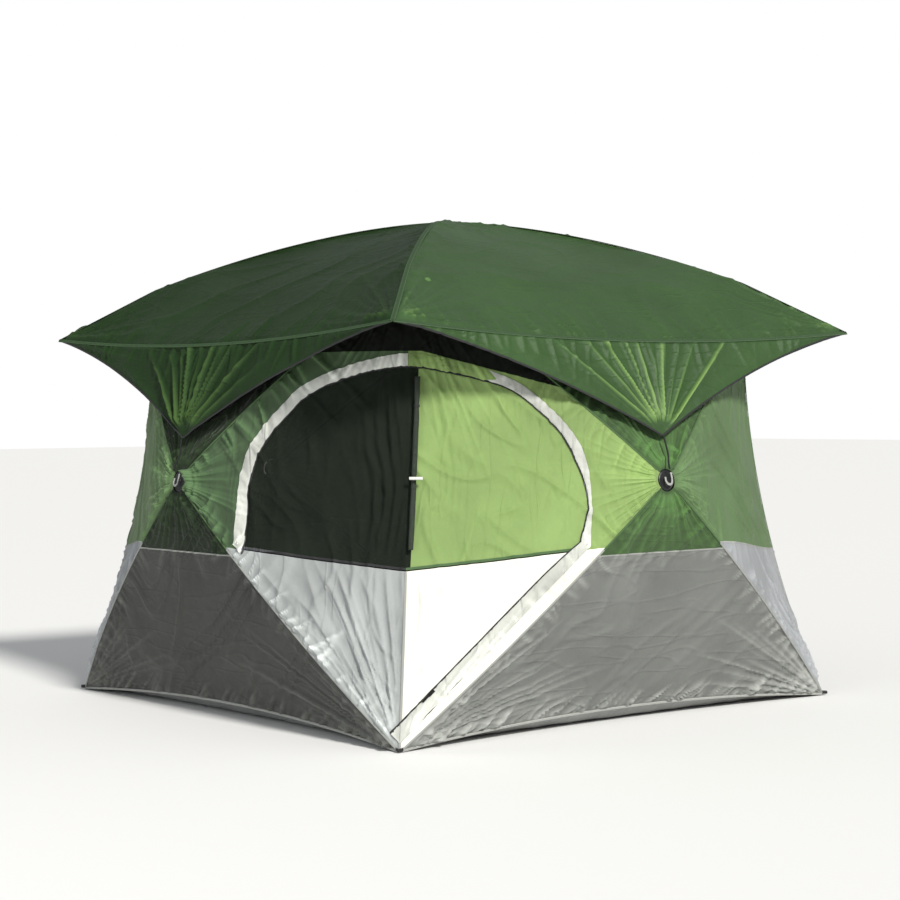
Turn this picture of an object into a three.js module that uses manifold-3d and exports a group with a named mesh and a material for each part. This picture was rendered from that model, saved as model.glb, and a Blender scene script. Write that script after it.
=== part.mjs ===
// A pop-up hub tent with a flysheet. Five sprung hubs, one in each wall and one in the roof, spread
// four poles each. The fabric body hangs on the poles and the flysheet lies over the roof.
// Millimetres, +Z up, origin on the ground at the middle of the floor. East is +X, north is +Y.
// The door is in the south-east corner.
import * as THREE from 'three';
import { mergeVertices } from 'three/addons/utils/BufferGeometryUtils.js';
import Module from 'manifold-3d';

const wasm = await Module();
wasm.setup();

// Driving dimensions
const BASE_HALF = 1195;        // half the side of the square floor plan
const TOP_HALF = 950;          // half the side at the top corners
const TOP_Z = 1820;            // height of the top corners
const HUB_OUT = 1420;          // how far a wall hub stands out
const HUB_Z = 997;             // height of a wall hub
const ROOF_Z = 2105;           // apex of the inner roof
const FABRIC = 3;              // thickness of a fabric shell
const SEAM_GAP = 4.5;          // each panel stops this far short of its seam line
const HUB_HOLE_R = 62;         // round opening in the fabric at a hub
const POLE_R = 5.5;            // 11 mm glass fibre pole
const POLE_INSET = 28;         // poles run this far inside the fabric
const UPPER_TIP_INSET = 42;    // and the upper tips this far, to clear the crown as they swing
const POLE_TIP_SHORT = 85;     // a pole stops this far short of its fabric corner
const WALL_BOW = 45;           // outward bow of a wall pole
const ROOF_BOW = 50;           // upward bow of a roof pole
const CREASE_DRAW = 75;        // how far the free corner edges draw in, in x and in y
const FLY_TIP = 1270;          // half the side of the flysheet at its four tips
const FLY_TIP_Z = 1615;
const FLY_TOP_Z = 2131;
const FLY_SAG = 55;            // sag of the eave between two tips
const FLAP_POINT_OUT = 1395;   // where the lower point of a flap is tied
const FLAP_POINT_Z = 1175;
const BAND_WIDTH = 52;         // storm flap over the zip

// Hub sizes
const HUB_R = 46;
const HUB_THICK = 34;
const PIVOT_R = 30;            // radius of the four pole pivots in a hub
const FITTING_R = 7.5;         // moulded end fitting of a pole
const SLOT_WIDTH = 16.4;
const TRUNNION_R = 3;
const SEAT_R = 3.6;
const SLEEVE = 68;             // length of that fitting
const FERRULE_R = 6.6;         // brass ferrule on a pole's tip

const COLOURS = {
  green: 0x4d6b42,
  light: 0x8fac69,
  grey: 0xb9bdba,
  mesh: 0x2a322a,
  black: 0x17181a,
  pole: 0x22262b,
  band: 0xd8dad4,
  floor: 0x6f7372,
};

const Z_AXIS = new THREE.Vector3(0, 0, 1);
const DIAGONAL = new THREE.Vector3(1, -1, 0).normalize();
const ACROSS = new THREE.Vector3(1, 1, 0).normalize();

const vec = (x, y, z) => new THREE.Vector3(x, y, z);

// ---------------------------------------------------------------- solids

function positions(points) {
  return new THREE.Float32BufferAttribute(points.flatMap((p) => [p.x, p.y, p.z]), 3);
}

function toManifold(geometry) {
  const plain = geometry.clone();
  plain.deleteAttribute('normal');
  plain.deleteAttribute('uv');
  const merged = mergeVertices(plain, 1e-3);
  return new wasm.Manifold(new wasm.Mesh({
    numProp: 3,
    vertProperties: new Float32Array(merged.attributes.position.array),
    triVerts: new Uint32Array(merged.index.array),
  }));
}

function toGeometry(manifold) {
  const mesh = manifold.getMesh();
  const geometry = new THREE.BufferGeometry();
  geometry.setAttribute('position', new THREE.BufferAttribute(new Float32Array(mesh.vertProperties), 3));
  geometry.setIndex(new THREE.BufferAttribute(new Uint32Array(mesh.triVerts), 1));
  return geometry;
}

function cut(geometry, ...tools) {
  const solid = tools.reduce((left, tool) => left.subtract(toManifold(tool)), toManifold(geometry));
  return toGeometry(solid);
}

function join(...geometries) {
  return toGeometry(geometries.map(toManifold).reduce((all, one) => all.add(one)));
}

function common(a, b) {
  return toGeometry(toManifold(a).intersect(toManifold(b)));
}

// A closed shell: the open surface is the outer face, and the inner face lies FABRIC inside it.
function thicken(points, faces, thickness = FABRIC) {
  const slots = new Map();
  const outer = [];
  const slotOf = points.map((p) => {
    const key = [p.x, p.y, p.z].map((c) => Math.round(c * 50)).join(',');
    if (!slots.has(key)) {
      slots.set(key, outer.length);
      outer.push(p);
    }
    return slots.get(key);
  });
  const tris = faces.map((f) => f.map((i) => slotOf[i]));
  const kept = tris.filter(([a, b, c]) => a !== b && b !== c && c !== a);
  const normals = outer.map(() => vec(0, 0, 0));
  const edges = new Map();
  for (const [a, b, c] of kept) {
    const ab = outer[b].clone().sub(outer[a]);
    const ac = outer[c].clone().sub(outer[a]);
    const normal = ab.cross(ac);
    for (const i of [a, b, c]) normals[i].add(normal);
    for (const [i, j] of [[a, b], [b, c], [c, a]]) edges.set(`${i},${j}`, [i, j]);
  }
  const inner = outer.map((p, i) => p.clone().addScaledVector(normals[i].normalize(), -thickness));
  const n = outer.length;
  const index = [];
  for (const [a, b, c] of kept) {
    index.push(a, b, c);
    index.push(n + a, n + c, n + b);
  }
  for (const [i, j] of edges.values()) {
    if (edges.has(`${j},${i}`)) continue;
    index.push(j, i, n + i);
    index.push(j, n + i, n + j);
  }
  const geometry = new THREE.BufferGeometry();
  geometry.setAttribute('position', positions([...outer, ...inner]));
  geometry.setIndex(index);
  return geometry;
}

// Faces of a grid of rows by columns; a closed grid joins its last column to its first.
function gridFaces(rows, columns, closed) {
  const faces = [];
  const last = closed ? columns : columns - 1;
  for (let i = 0; i < rows - 1; i += 1) {
    for (let j = 0; j < last; j += 1) {
      const k = (j + 1) % columns;
      const [a, b] = [i * columns + j, i * columns + k];
      const [c, d] = [(i + 1) * columns + j, (i + 1) * columns + k];
      faces.push([a, c, d], [a, d, b]);
    }
  }
  return faces;
}

// ---------------------------------------------------------------- fabric surfaces

// A curved triangle from a hub to the edge a-b. Each side bows by its own vector at its middle.
function patchPoint(patch, s, t) {
  const [u, v, w] = [1 - s, s * (1 - t), s * t];
  const p = vec(0, 0, 0);
  p.addScaledVector(patch.hub, u).addScaledVector(patch.a, v).addScaledVector(patch.b, w);
  p.addScaledVector(patch.bowA, 4 * u * v).addScaledVector(patch.bowB, 4 * u * w);
  return p.addScaledVector(patch.bowEdge, 4 * v * w);
}

// A fabric cone around a hub: patches side by side, with a round hole at the hub.
function hubSheet(patches, rows, perPatch) {
  const columns = patches.length * perPatch;
  const points = [];
  for (let i = 0; i < rows; i += 1) {
    for (let j = 0; j < columns; j += 1) {
      const patch = patches[Math.floor(j / perPatch)];
      const t = (j % perPatch) / perPatch;
      const reach = patchPoint(patch, 1, t).distanceTo(patch.hub);
      const first = HUB_HOLE_R / reach;
      const last = 1 - SEAM_GAP / reach;
      points.push(patchPoint(patch, first + (last - first) * (i / (rows - 1)), t));
    }
  }
  return thicken(points, gridFaces(rows, columns, true));
}

const WALL_HUB = vec(HUB_OUT, 0, HUB_Z);
const WALL_TILT = Math.atan2(BASE_HALF - TOP_HALF, TOP_Z);
const WALL_NORMAL = vec(Math.cos(WALL_TILT), 0, Math.sin(WALL_TILT));
const BOTTOM_LEFT = vec(BASE_HALF, -BASE_HALF, 0);
const BOTTOM_RIGHT = vec(BASE_HALF, BASE_HALF, 0);
const TOP_RIGHT = vec(TOP_HALF, TOP_HALF, TOP_Z);
const TOP_LEFT = vec(TOP_HALF, -TOP_HALF, TOP_Z);

// The four patches of the east wall: bottom, north side, top, south side.
function wallPatches() {
  const bow = WALL_NORMAL.clone().multiplyScalar(WALL_BOW);
  const shared = { hub: WALL_HUB, bowA: bow, bowB: bow };
  const drawNorth = vec(-CREASE_DRAW, -CREASE_DRAW, 0);
  const drawSouth = vec(-CREASE_DRAW, CREASE_DRAW, 0);
  return [
    { ...shared, a: BOTTOM_LEFT, b: BOTTOM_RIGHT, bowEdge: vec(-18, 0, 55) },
    { ...shared, a: BOTTOM_RIGHT, b: TOP_RIGHT, bowEdge: drawNorth },
    { ...shared, a: TOP_RIGHT, b: TOP_LEFT, bowEdge: vec(-15, 0, -60) },
    { ...shared, a: TOP_LEFT, b: BOTTOM_LEFT, bowEdge: drawSouth },
  ];
}

function roofPatches() {
  const hub = vec(0, 0, ROOF_Z);
  const up = vec(0, 0, ROOF_BOW);
  const corners = [TOP_LEFT, TOP_RIGHT, vec(-TOP_HALF, TOP_HALF, TOP_Z), vec(-TOP_HALF, -TOP_HALF, TOP_Z)];
  return corners.map((a, k) => {
    const b = corners[(k + 1) % 4];
    const inward = a.clone().add(b).multiplyScalar(-0.5 * 15 / TOP_HALF);
    return { hub, a, b, bowA: up, bowB: up, bowEdge: vec(inward.x, inward.y, -60) };
  });
}

// Height of the flysheet's diagonal seam at half-side r: domed over the poles, straight beyond.
function flyHeight(r) {
  const corner = TOP_Z + 18;
  if (r <= TOP_HALF) return FLY_TOP_Z - (FLY_TOP_Z - corner) * (r / TOP_HALF) ** 1.7;
  return corner - (corner - FLY_TIP_Z) * ((r - TOP_HALF) / (FLY_TIP - TOP_HALF));
}

// A point of the flysheet's east gore: t runs from the south seam to the north seam.
function flyPoint(r, t) {
  const middle = 4 * t * (1 - t) * (r / FLY_TIP);
  return vec(r - 10 * middle, r * (2 * t - 1), flyHeight(r) - FLY_SAG * middle);
}

// The lower edge of the east flap, hollow between the tips and the tied point.
function flapEdge(t) {
  const side = t < 0.5 ? 0 : 1;
  const along = side === 0 ? 2 * t : 2 - 2 * t;
  const tip = flyPoint(FLY_TIP, side);
  const point = tip.lerp(vec(FLAP_POINT_OUT, 0, FLAP_POINT_Z), along);
  return point.add(vec(-20, 0, 50).multiplyScalar(4 * along * (1 - along)));
}

function flysheet() {
  const rings = [60, 250, 440, 630, 800, TOP_HALF, 1110, FLY_TIP];
  const perSide = 6;
  const flapRows = [0.5, 1];
  const points = [];
  const addRing = (pointAt) => {
    for (let side = 0; side < 4; side += 1) {
      for (let j = 0; j < perSide; j += 1) {
        points.push(pointAt(j / perSide).applyAxisAngle(Z_AXIS, side * Math.PI / 2));
      }
    }
  };
  rings.forEach((r) => addRing((t) => flyPoint(r, t)));
  flapRows.forEach((down) => addRing((t) => flyPoint(FLY_TIP, t).lerp(flapEdge(t), down)));
  const columns = 4 * perSide;
  const faces = gridFaces(rings.length + flapRows.length, columns, true);
  const apex = points.length;
  points.push(vec(0, 0, FLY_TOP_Z));
  for (let j = 0; j < columns; j += 1) faces.push([apex, j, (j + 1) % columns]);
  return thicken(points, faces);
}

// ---------------------------------------------------------------- door outlines

// Outlines lie in the vertical plane that faces the south-east corner: across, then up.
// Half of the arch, from the fold line beside the hub to the crown.
const ARCH = [
  [700, 745], [705, 900], [690, 1060], [640, 1180], [550, 1285], [430, 1385], [270, 1452], [110, 1492],
];
const SEAM_SIDE_Z = 732;
const SEAM_MIDDLE_Z = 662;
const DOOR_FOOT_Z = 30;
const CROWN_Z = 1505;
const SEWN_TOP = 718;          // the upper end of the sewn side, beside the south wall's pole
const SEWN_TOP_Z = 748;

// The whole door opening. Its zipped side is inset by band, and the side sewn to the south wall by sewn.
function doorOutline(band, sewn) {
  const right = ARCH.map(([x, z]) => [x, z]);
  const left = ARCH.slice(1).map(([x, z]) => [-x, z]).reverse();
  const foot = [0, DOOR_FOOT_Z];
  const ring = [foot, ...right, [0, CROWN_Z], ...left, [-SEWN_TOP, SEWN_TOP_Z]];
  const points = ring.map(([x, z], k) => {
    const before = ring[(k + ring.length - 1) % ring.length];
    const after = ring[(k + 1) % ring.length];
    const inward = new THREE.Vector2(before[1] - after[1], after[0] - before[0]).normalize();
    return new THREE.Vector2(x, z).addScaledVector(inward, band);
  });
  points[0].set(0, DOOR_FOOT_Z + band * 1.5);
  points[points.length - 1].set(-SEWN_TOP + sewn, SEWN_TOP_Z);
  points.push(new THREE.Vector2(-4 - sewn / 2, DOOR_FOOT_Z + 4 + sewn / 2));
  return points;
}

// A prism through the south-east corner with the given outline.
function cornerPrism(points) {
  const geometry = new THREE.ExtrudeGeometry(new THREE.Shape(points), { depth: 1500, bevelEnabled: false });
  const place = new THREE.Matrix4().makeBasis(ACROSS, Z_AXIS, DIAGONAL);
  place.setPosition(DIAGONAL.clone().multiplyScalar(600));
  return geometry.applyMatrix4(place);
}

// The region above or below the green-to-grey seam, shifted up by shift.
function seamPrism(side, shift) {
  const far = side * 2500;
  const at = (x, z) => new THREE.Vector2(x, z + shift);
  const points = [at(-900, SEAM_SIDE_Z + 20), at(0, SEAM_MIDDLE_Z), at(900, SEAM_SIDE_Z + 20)];
  points.push(at(900, far), at(-900, far));
  return cornerPrism(side > 0 ? points : points.reverse());
}

// Both halves of the south-east diamond as one folded sheet, without its hubs.
function cornerDiamond() {
  const patch = wallPatches()[3];
  const [rows, columns] = [7, 9];
  const points = [];
  const first = 0.05;
  for (let i = 0; i < rows; i += 1) {
    for (let j = 0; j < columns; j += 1) {
      points.push(patchPoint(patch, first + (1 - first) * (i / (rows - 1)), j / (columns - 1)));
    }
  }
  const faces = gridFaces(rows, columns, false);
  const count = points.length;
  const mirrored = points.map((p) => vec(-p.y, -p.x, p.z));
  const back = faces.map(([a, b, c]) => [a + count, c + count, b + count]);
  return thicken([...points, ...mirrored], [...faces, ...back]);
}

// ---------------------------------------------------------------- frame

const rotationTo = (x, z) => new THREE.Matrix4().makeBasis(x, z.clone().cross(x), z);

// A hub's mechanism: its centre, its outward normal and one arm for each pole.
function hubLayout(apex, normal, corners, bow) {
  const centre = apex.clone().addScaledVector(normal, -POLE_INSET - 2);
  const arms = corners.map((corner) => {
    const inset = corner.z > apex.z ? UPPER_TIP_INSET : POLE_INSET;
    const short = apex.clone().sub(corner).normalize().multiplyScalar(POLE_TIP_SHORT);
    const tip = corner.clone().add(short).addScaledVector(normal, -inset);
    const out = tip.clone().sub(centre).projectOnPlane(normal).normalize();
    const pivot = centre.clone().addScaledVector(out, PIVOT_R);
    return { tip, out, pivot, axis: out.clone().cross(normal), bow: normal.clone().multiplyScalar(bow) };
  });
  return { centre, normal, arms };
}

function rod(radius, length, sides = 10) {
  return new THREE.CylinderGeometry(radius, radius, length, sides);
}

// A rod that starts at a point and runs a length along a direction.
function rodFrom(start, direction, radius, length, sides = 10) {
  const turn = new THREE.Quaternion().setFromUnitVectors(vec(0, 1, 0), direction);
  const geometry = rod(radius, length, sides).applyQuaternion(turn);
  const middle = start.clone().addScaledVector(direction, length / 2);
  return geometry.translate(middle.x, middle.y, middle.z);
}

function tube(path, radius, sides, steps) {
  const section = new THREE.Shape();
  for (let k = 0; k < sides; k += 1) {
    const angle = 2 * Math.PI * k / sides;
    const [x, y] = [radius * Math.cos(angle), radius * Math.sin(angle)];
    if (k === 0) section.moveTo(x, y);
    else section.lineTo(x, y);
  }
  section.closePath();
  return new THREE.ExtrudeGeometry(section, { steps, extrudePath: path, bevelEnabled: false });
}

// A round rod along a path whose radius changes at stations: pairs of distance and radius.
function loft(path, stations, sides) {
  const total = path.getLength();
  const points = stations.flatMap(([distance, radius]) => {
    const u = Math.min(distance / total, 1);
    const middle = path.getPointAt(u);
    const out = path.getTangentAt(u);
    const sideways = out.clone().cross(Z_AXIS).normalize();
    const up = sideways.clone().cross(out);
    return Array.from({ length: sides }, (_, k) => {
      const angle = 2 * Math.PI * k / sides;
      const p = middle.clone().addScaledVector(sideways, radius * Math.cos(angle));
      return p.addScaledVector(up, radius * Math.sin(angle));
    });
  });
  const faces = gridFaces(stations.length, sides, true);
  const [first, last] = [points.length, points.length + 1];
  points.push(path.getPointAt(0), path.getPointAt(1));
  const end = (stations.length - 1) * sides;
  for (let k = 0; k < sides; k += 1) {
    const next = (k + 1) % sides;
    faces.push([first, k, next], [last, end + next, end + k]);
  }
  const geometry = new THREE.BufferGeometry();
  geometry.setAttribute('position', positions(points));
  geometry.setIndex(faces.flat());
  return geometry;
}

// A bowed pole with its moulded sleeve and trunnions at the hub and a ferrule at the tip.
function pole(arm) {
  const middle = arm.pivot.clone().add(arm.tip).multiplyScalar(0.5).addScaledVector(arm.bow, 2);
  const path = new THREE.QuadraticBezierCurve3(arm.pivot, middle, arm.tip);
  const total = path.getLength();
  const sleeve = [[0, FITTING_R - 0.5], [SLEEVE, FITTING_R - 0.5], [SLEEVE + 2, POLE_R]];
  const shaft = [0.2, 0.35, 0.5, 0.65, 0.8].map((part) => [part * total, POLE_R]);
  const ferrule = [[total - 52, POLE_R], [total - 50, FERRULE_R], [total, FERRULE_R]];
  const barrelStart = arm.pivot.clone().addScaledVector(arm.axis, -FITTING_R);
  const barrel = rodFrom(barrelStart, arm.axis, FITTING_R, 2 * FITTING_R);
  const pins = rodFrom(arm.pivot.clone().addScaledVector(arm.axis, -13), arm.axis, TRUNNION_R, 26, 6);
  return join(loft(path, [...sleeve, ...shaft, ...ferrule], 6), barrel, pins);
}

// The moulded hub: a puck with a slot for each pole and open seats for its trunnions.
function hubBody(layout) {
  const { centre, normal, arms } = layout;
  const turn = rotationTo(arms[0].out, normal);
  const puck = rod(HUB_R, HUB_THICK, 18).rotateX(Math.PI / 2).applyMatrix4(turn);
  puck.translate(centre.x, centre.y, centre.z);
  const tools = arms.flatMap((arm) => {
    const place = rotationTo(arm.out, normal);
    const put = (geometry, at) => geometry.applyMatrix4(place).translate(at.x, at.y, at.z);
    const slotMiddle = centre.clone().addScaledVector(arm.out, PIVOT_R + 20);
    const seatMiddle = arm.pivot.clone().addScaledVector(normal, HUB_THICK / 2);
    return [
      put(new THREE.BoxGeometry(60, SLOT_WIDTH, HUB_THICK + 10), slotMiddle),
      put(new THREE.BoxGeometry(2 * SEAT_R, 28, HUB_THICK), seatMiddle),
      put(rod(SEAT_R / Math.cos(Math.PI / 8), 28.4, 8), arm.pivot.clone()),
    ];
  });
  return cut(puck, ...tools);
}

// The round outer cap that closes the trunnion seats, with a raised rim and a boss.
function hubCap(layout) {
  const profile = [[0, 0], [42, 0], [42, 4], [38, 6.5], [33, 4.5], [14, 4.5], [12, 9], [0, 10]];
  const lathe = new THREE.LatheGeometry(profile.map(([r, z]) => new THREE.Vector2(r, z)), 18);
  lathe.rotateX(Math.PI / 2).applyMatrix4(rotationTo(layout.arms[0].out, layout.normal));
  const at = layout.centre.clone().addScaledVector(layout.normal, HUB_THICK / 2 + 0.4);
  return lathe.translate(at.x, at.y, at.z);
}

// A reinforced corner pocket: a hollow many-sided cone that opens towards the inside of the tent.
function cornerPocket(corner, rays, shift) {
  const apex = corner.clone().add(shift);
  const rim = rays.map((ray) => ray.clone().add(shift));
  const middle = rim.reduce((sum, p) => sum.add(p), vec(0, 0, 0)).multiplyScalar(1 / rim.length);
  const axis = middle.clone().sub(apex).normalize();
  const cone = (top, ring, base) => {
    const points = [top, base, ...ring];
    const index = [];
    for (let k = 0; k < ring.length; k += 1) {
      const next = (k + 1) % ring.length;
      index.push(0, 2 + k, 2 + next);
      index.push(1, 2 + next, 2 + k);
    }
    const geometry = new THREE.BufferGeometry();
    geometry.setAttribute('position', positions(points));
    geometry.setIndex(index);
    return geometry;
  };
  const hollowApex = apex.clone().addScaledVector(axis, 5);
  const grown = rim.map((p) => hollowApex.clone().addScaledVector(p.clone().sub(apex), 1.4));
  const grownMiddle = hollowApex.clone().addScaledVector(middle.clone().sub(apex), 1.4);
  return cut(cone(apex, rim, middle), cone(hollowApex, grown, grownMiddle));
}

// ---------------------------------------------------------------- assembly

const tent = new THREE.Group();

function addMesh(parent, name, geometry, colour, roughness = 0.8, metalness = 0) {
  const material = new THREE.MeshStandardMaterial({ color: colour, roughness, metalness });
  const mesh = new THREE.Mesh(geometry, material);
  mesh.name = name;
  parent.add(mesh);
  return mesh;
}

const SIDES = ['east', 'north', 'west', 'south'];
const CORNERS = ['southeast', 'northeast', 'northwest', 'southwest'];

const eastLayout = hubLayout(
  WALL_HUB, WALL_NORMAL, [BOTTOM_LEFT, BOTTOM_RIGHT, TOP_RIGHT, TOP_LEFT], WALL_BOW,
);
const ARM_NAMES = ['lower_left', 'lower_right', 'upper_right', 'upper_left'];

// One wall with its hub, poles and flysheet tie. The two front walls are cut for the door.
function addSide(side, turn) {
  const group = new THREE.Group();
  group.rotation.z = turn;
  let wall = hubSheet(wallPatches(), 5, 5);
  if (side === 'east' || side === 'south') {
    const opening = cornerPrism(doorOutline(-2, -2));
    wall = cut(wall, opening.applyMatrix4(new THREE.Matrix4().makeRotationZ(-turn)));
  }
  addMesh(group, `wall_${side}`, wall, COLOURS.green);
  addMesh(group, `hub_${side}`, hubBody(eastLayout), COLOURS.black, 0.5);
  addMesh(group, `hub_cap_${side}`, hubCap(eastLayout), COLOURS.black, 0.45);
  eastLayout.arms.forEach((arm, k) => {
    addMesh(group, `pole_${side}_${ARM_NAMES[k]}`, pole(arm), COLOURS.pole, 0.4);
  });
  addMesh(group, `fly_tie_${side}`, flyTie(), COLOURS.black, 0.7);
  tent.add(group);
}

// The cord from a flap's lower point to just above the hub's cap.
function flyTie() {
  const route = [
    vec(FLAP_POINT_OUT + 4, 0, FLAP_POINT_Z - 6),
    vec(FLAP_POINT_OUT + 12, 5, FLAP_POINT_Z - 40),
    vec(FLAP_POINT_OUT + 20, 8, FLAP_POINT_Z - 75),
    vec(HUB_OUT + 8, -2, HUB_Z + 70),
    vec(HUB_OUT + 16, -4, HUB_Z + 44),
  ];
  return tube(new THREE.CatmullRomCurve3(route), 3.5, 8, 10);
}

SIDES.forEach((side, k) => addSide(side, k * Math.PI / 2));

// Roof: hub, cap, four poles and the inner roof fabric.
const roofLayout = hubLayout(vec(0, 0, ROOF_Z), Z_AXIS, roofPatches().map((patch) => patch.a), ROOF_BOW);
addMesh(tent, 'roof_panel', hubSheet(roofPatches(), 4, 4), COLOURS.mesh);
addMesh(tent, 'hub_roof', hubBody(roofLayout), COLOURS.black, 0.5);
addMesh(tent, 'hub_cap_roof', hubCap(roofLayout), COLOURS.black, 0.45);
roofLayout.arms.forEach((arm, k) => {
  addMesh(tent, `pole_roof_${CORNERS[k]}`, pole(arm), COLOURS.pole, 0.4);
});

// Corner pockets: where the pole tips rest, at the foot and at the crown of each corner.
const POCKET = 150;
const FOOT_SHIFT = vec(-10, 10, 6);      // clear of the fabric outside the pocket
const CROWN_SHIFT = vec(-9, 9, -9);

// The point of a patch's ridge that lies POCKET from its corner a.
function onRidge(patch) {
  return patchPoint(patch, 1 - POCKET / patch.hub.distanceTo(patch.a), 0);
}

// The point of a patch's free edge that lies POCKET from its corner a, or from b.
function onEdge(patch, fromB) {
  const share = POCKET / patch.a.distanceTo(patch.b);
  return patchPoint(patch, 1, fromB ? 1 - share : share);
}

function addPockets(name, turn) {
  const group = new THREE.Group();
  group.rotation.z = turn;
  const [bottom, , top, south] = wallPatches();
  const mirror = (p) => vec(-p.y, -p.x, p.z);
  const [ridge, crease] = [onRidge(bottom), onEdge(south, true)];
  const base = BOTTOM_LEFT.clone().add(vec(0, 0.85 * POCKET, 0));
  const footRays = [base, ridge, crease, mirror(ridge), mirror(base)];
  addMesh(group, `foot_pocket_${name}`, cornerPocket(BOTTOM_LEFT, footRays, FOOT_SHIFT), COLOURS.black);
  const [upper, edge] = [onRidge(south), onEdge(top, true)];
  const [topCrease, roof] = [onEdge(south, false), onRidge(roofPatches()[0])];
  const crownRays = [mirror(edge), mirror(upper), topCrease, upper, edge, roof];
  addMesh(group, `crown_pocket_${name}`, cornerPocket(TOP_LEFT, crownRays, CROWN_SHIFT), COLOURS.black);
  addMesh(group, `fly_batten_${name}`, flyBatten(), COLOURS.pole, 0.4);
  tent.add(group);
}

// The stiff batten that holds a tip of the flysheet out beyond the body.
function flyBatten() {
  const at = (r) => vec(r, -r, flyHeight(r) - 13);
  const [start, end] = [at(TOP_HALF + 36), at(FLY_TIP - 22)];
  const direction = end.clone().sub(start);
  return rodFrom(start, direction.clone().normalize(), 5, direction.length(), 8);
}

CORNERS.forEach((name, k) => addPockets(name, k * Math.PI / 2));

// Floor: a flat sheet that turns in a little between the corners.
function floorSheet() {
  const half = BASE_HALF - 30;
  const outline = new THREE.Shape();
  const corners = [[half, -half], [half, half], [-half, half], [-half, -half]];
  outline.moveTo(...corners[3]);
  corners.forEach(([x, y], k) => {
    const [px, py] = corners[(k + 3) % 4];
    outline.quadraticCurveTo(0.96 * (x + px) / 2, 0.96 * (y + py) / 2, x, y);
  });
  return new THREE.ExtrudeGeometry(outline, { depth: FABRIC, curveSegments: 6, bevelEnabled: false });
}

addMesh(tent, 'floor', floorSheet(), COLOURS.floor);
addMesh(tent, 'flysheet', flysheet(), COLOURS.green);

// Door: a folded sheet in the south-east corner, parted into the panels that move and those that stay.
const diamond = cornerDiamond();
const opening = common(diamond, cornerPrism(doorOutline(0, 0)));
const infill = cornerPrism(doorOutline(BAND_WIDTH, 2));
const bandTool = cornerPrism(doorOutline(BAND_WIDTH - 2.5, -12));
addMesh(tent, 'zip_band', cut(opening, bandTool), COLOURS.band);

const leaf = common(opening, infill);
const upperLeaf = common(leaf, seamPrism(1, 8));
addMesh(tent, 'door_lower_panel', common(leaf, seamPrism(-1, -2)), COLOURS.grey);

// The window fills the leaf up to an edge just past the crease, which leans a little to the right.
const WINDOW_EDGE = [28, 52];
const WINDOW_EDGE_Z = [700, 1450];
const edgeAcross = (z) => {
  const [low, high] = WINDOW_EDGE_Z;
  return WINDOW_EDGE[0] + (WINDOW_EDGE[1] - WINDOW_EDGE[0]) * ((z - low) / (high - low));
};
function windowPrism(grow) {
  const outline = [[-760, 600], [edgeAcross(600) + grow, 600], [edgeAcross(1560) + grow, 1560], [-760, 1560]];
  return cornerPrism(outline.map(([x, z]) => new THREE.Vector2(x, z)));
}
addMesh(tent, 'door_mesh_window', common(upperLeaf, windowPrism(0)), COLOURS.mesh, 0.9);
addMesh(tent, 'door_upper_panel', cut(upperLeaf, windowPrism(2.5)), COLOURS.light);

// A point beside the crease, over the window's edge and clear of the fabric by a distance.
const CREASE_FALL = 0.145;     // how fast the fabric falls away beside the crease
function windowEdgePoint(z, clear) {
  const across = edgeAcross(z);
  const p = patchPoint(wallPatches()[3], 1, 1 - z / TOP_Z);
  return p.addScaledVector(ACROSS, across).addScaledVector(DIAGONAL, clear - CREASE_FALL * across);
}

// The rolled window cover along the window's edge and the toggle that holds it.
const ROLL_R = 15;
const ROLL_CLEAR = ROLL_R + 11;
const TOGGLE_HALF = 26;
const rollPoints = [760, 930, 1100, 1270, 1400].map((z) => windowEdgePoint(z, ROLL_CLEAR));
const rollPath = new THREE.CatmullRomCurve3(rollPoints);
addMesh(tent, 'window_cover_roll', tube(rollPath, ROLL_R, 10, 8), COLOURS.green);
const toggleAt = windowEdgePoint(1020, ROLL_CLEAR + ROLL_R + 7.5).addScaledVector(ACROSS, -TOGGLE_HALF);
addMesh(tent, 'window_toggle', rodFrom(toggleAt, ACROSS, 6, 2 * TOGGLE_HALF), COLOURS.band, 0.4);

// The zip slider with its pull, at the foot of the straight run of the zip.
function zipSlider() {
  const patch = wallPatches()[3];
  const low = patchPoint(patch, 0.905, 0.93);
  const high = patchPoint(patch, 0.62, 0.87);
  const along = high.clone().sub(low).normalize();
  const edge = patch.b.clone().sub(patch.hub);
  const normal = patch.a.clone().sub(patch.hub).cross(edge).normalize();
  const out = normal.projectOnPlane(along).normalize();
  const place = rotationTo(along, out);
  const at = low.addScaledVector(out, 10);
  const body = new THREE.BoxGeometry(30, 15, 6);
  const pull = new THREE.BoxGeometry(46, 9, 3).translate(-26, 0, 2.5);
  return join(body, pull).applyMatrix4(place).translate(at.x, at.y, at.z);
}

addMesh(tent, 'zip_slider', zipSlider(), COLOURS.black, 0.35, 0.6);

export default tent;
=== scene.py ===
"""A pop-up hub tent around its CAD frame: fabric body, arched corner door, flysheet, cords and trim."""
import math

import bpy
import numpy as np
from mathutils import Matrix, Vector


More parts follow.
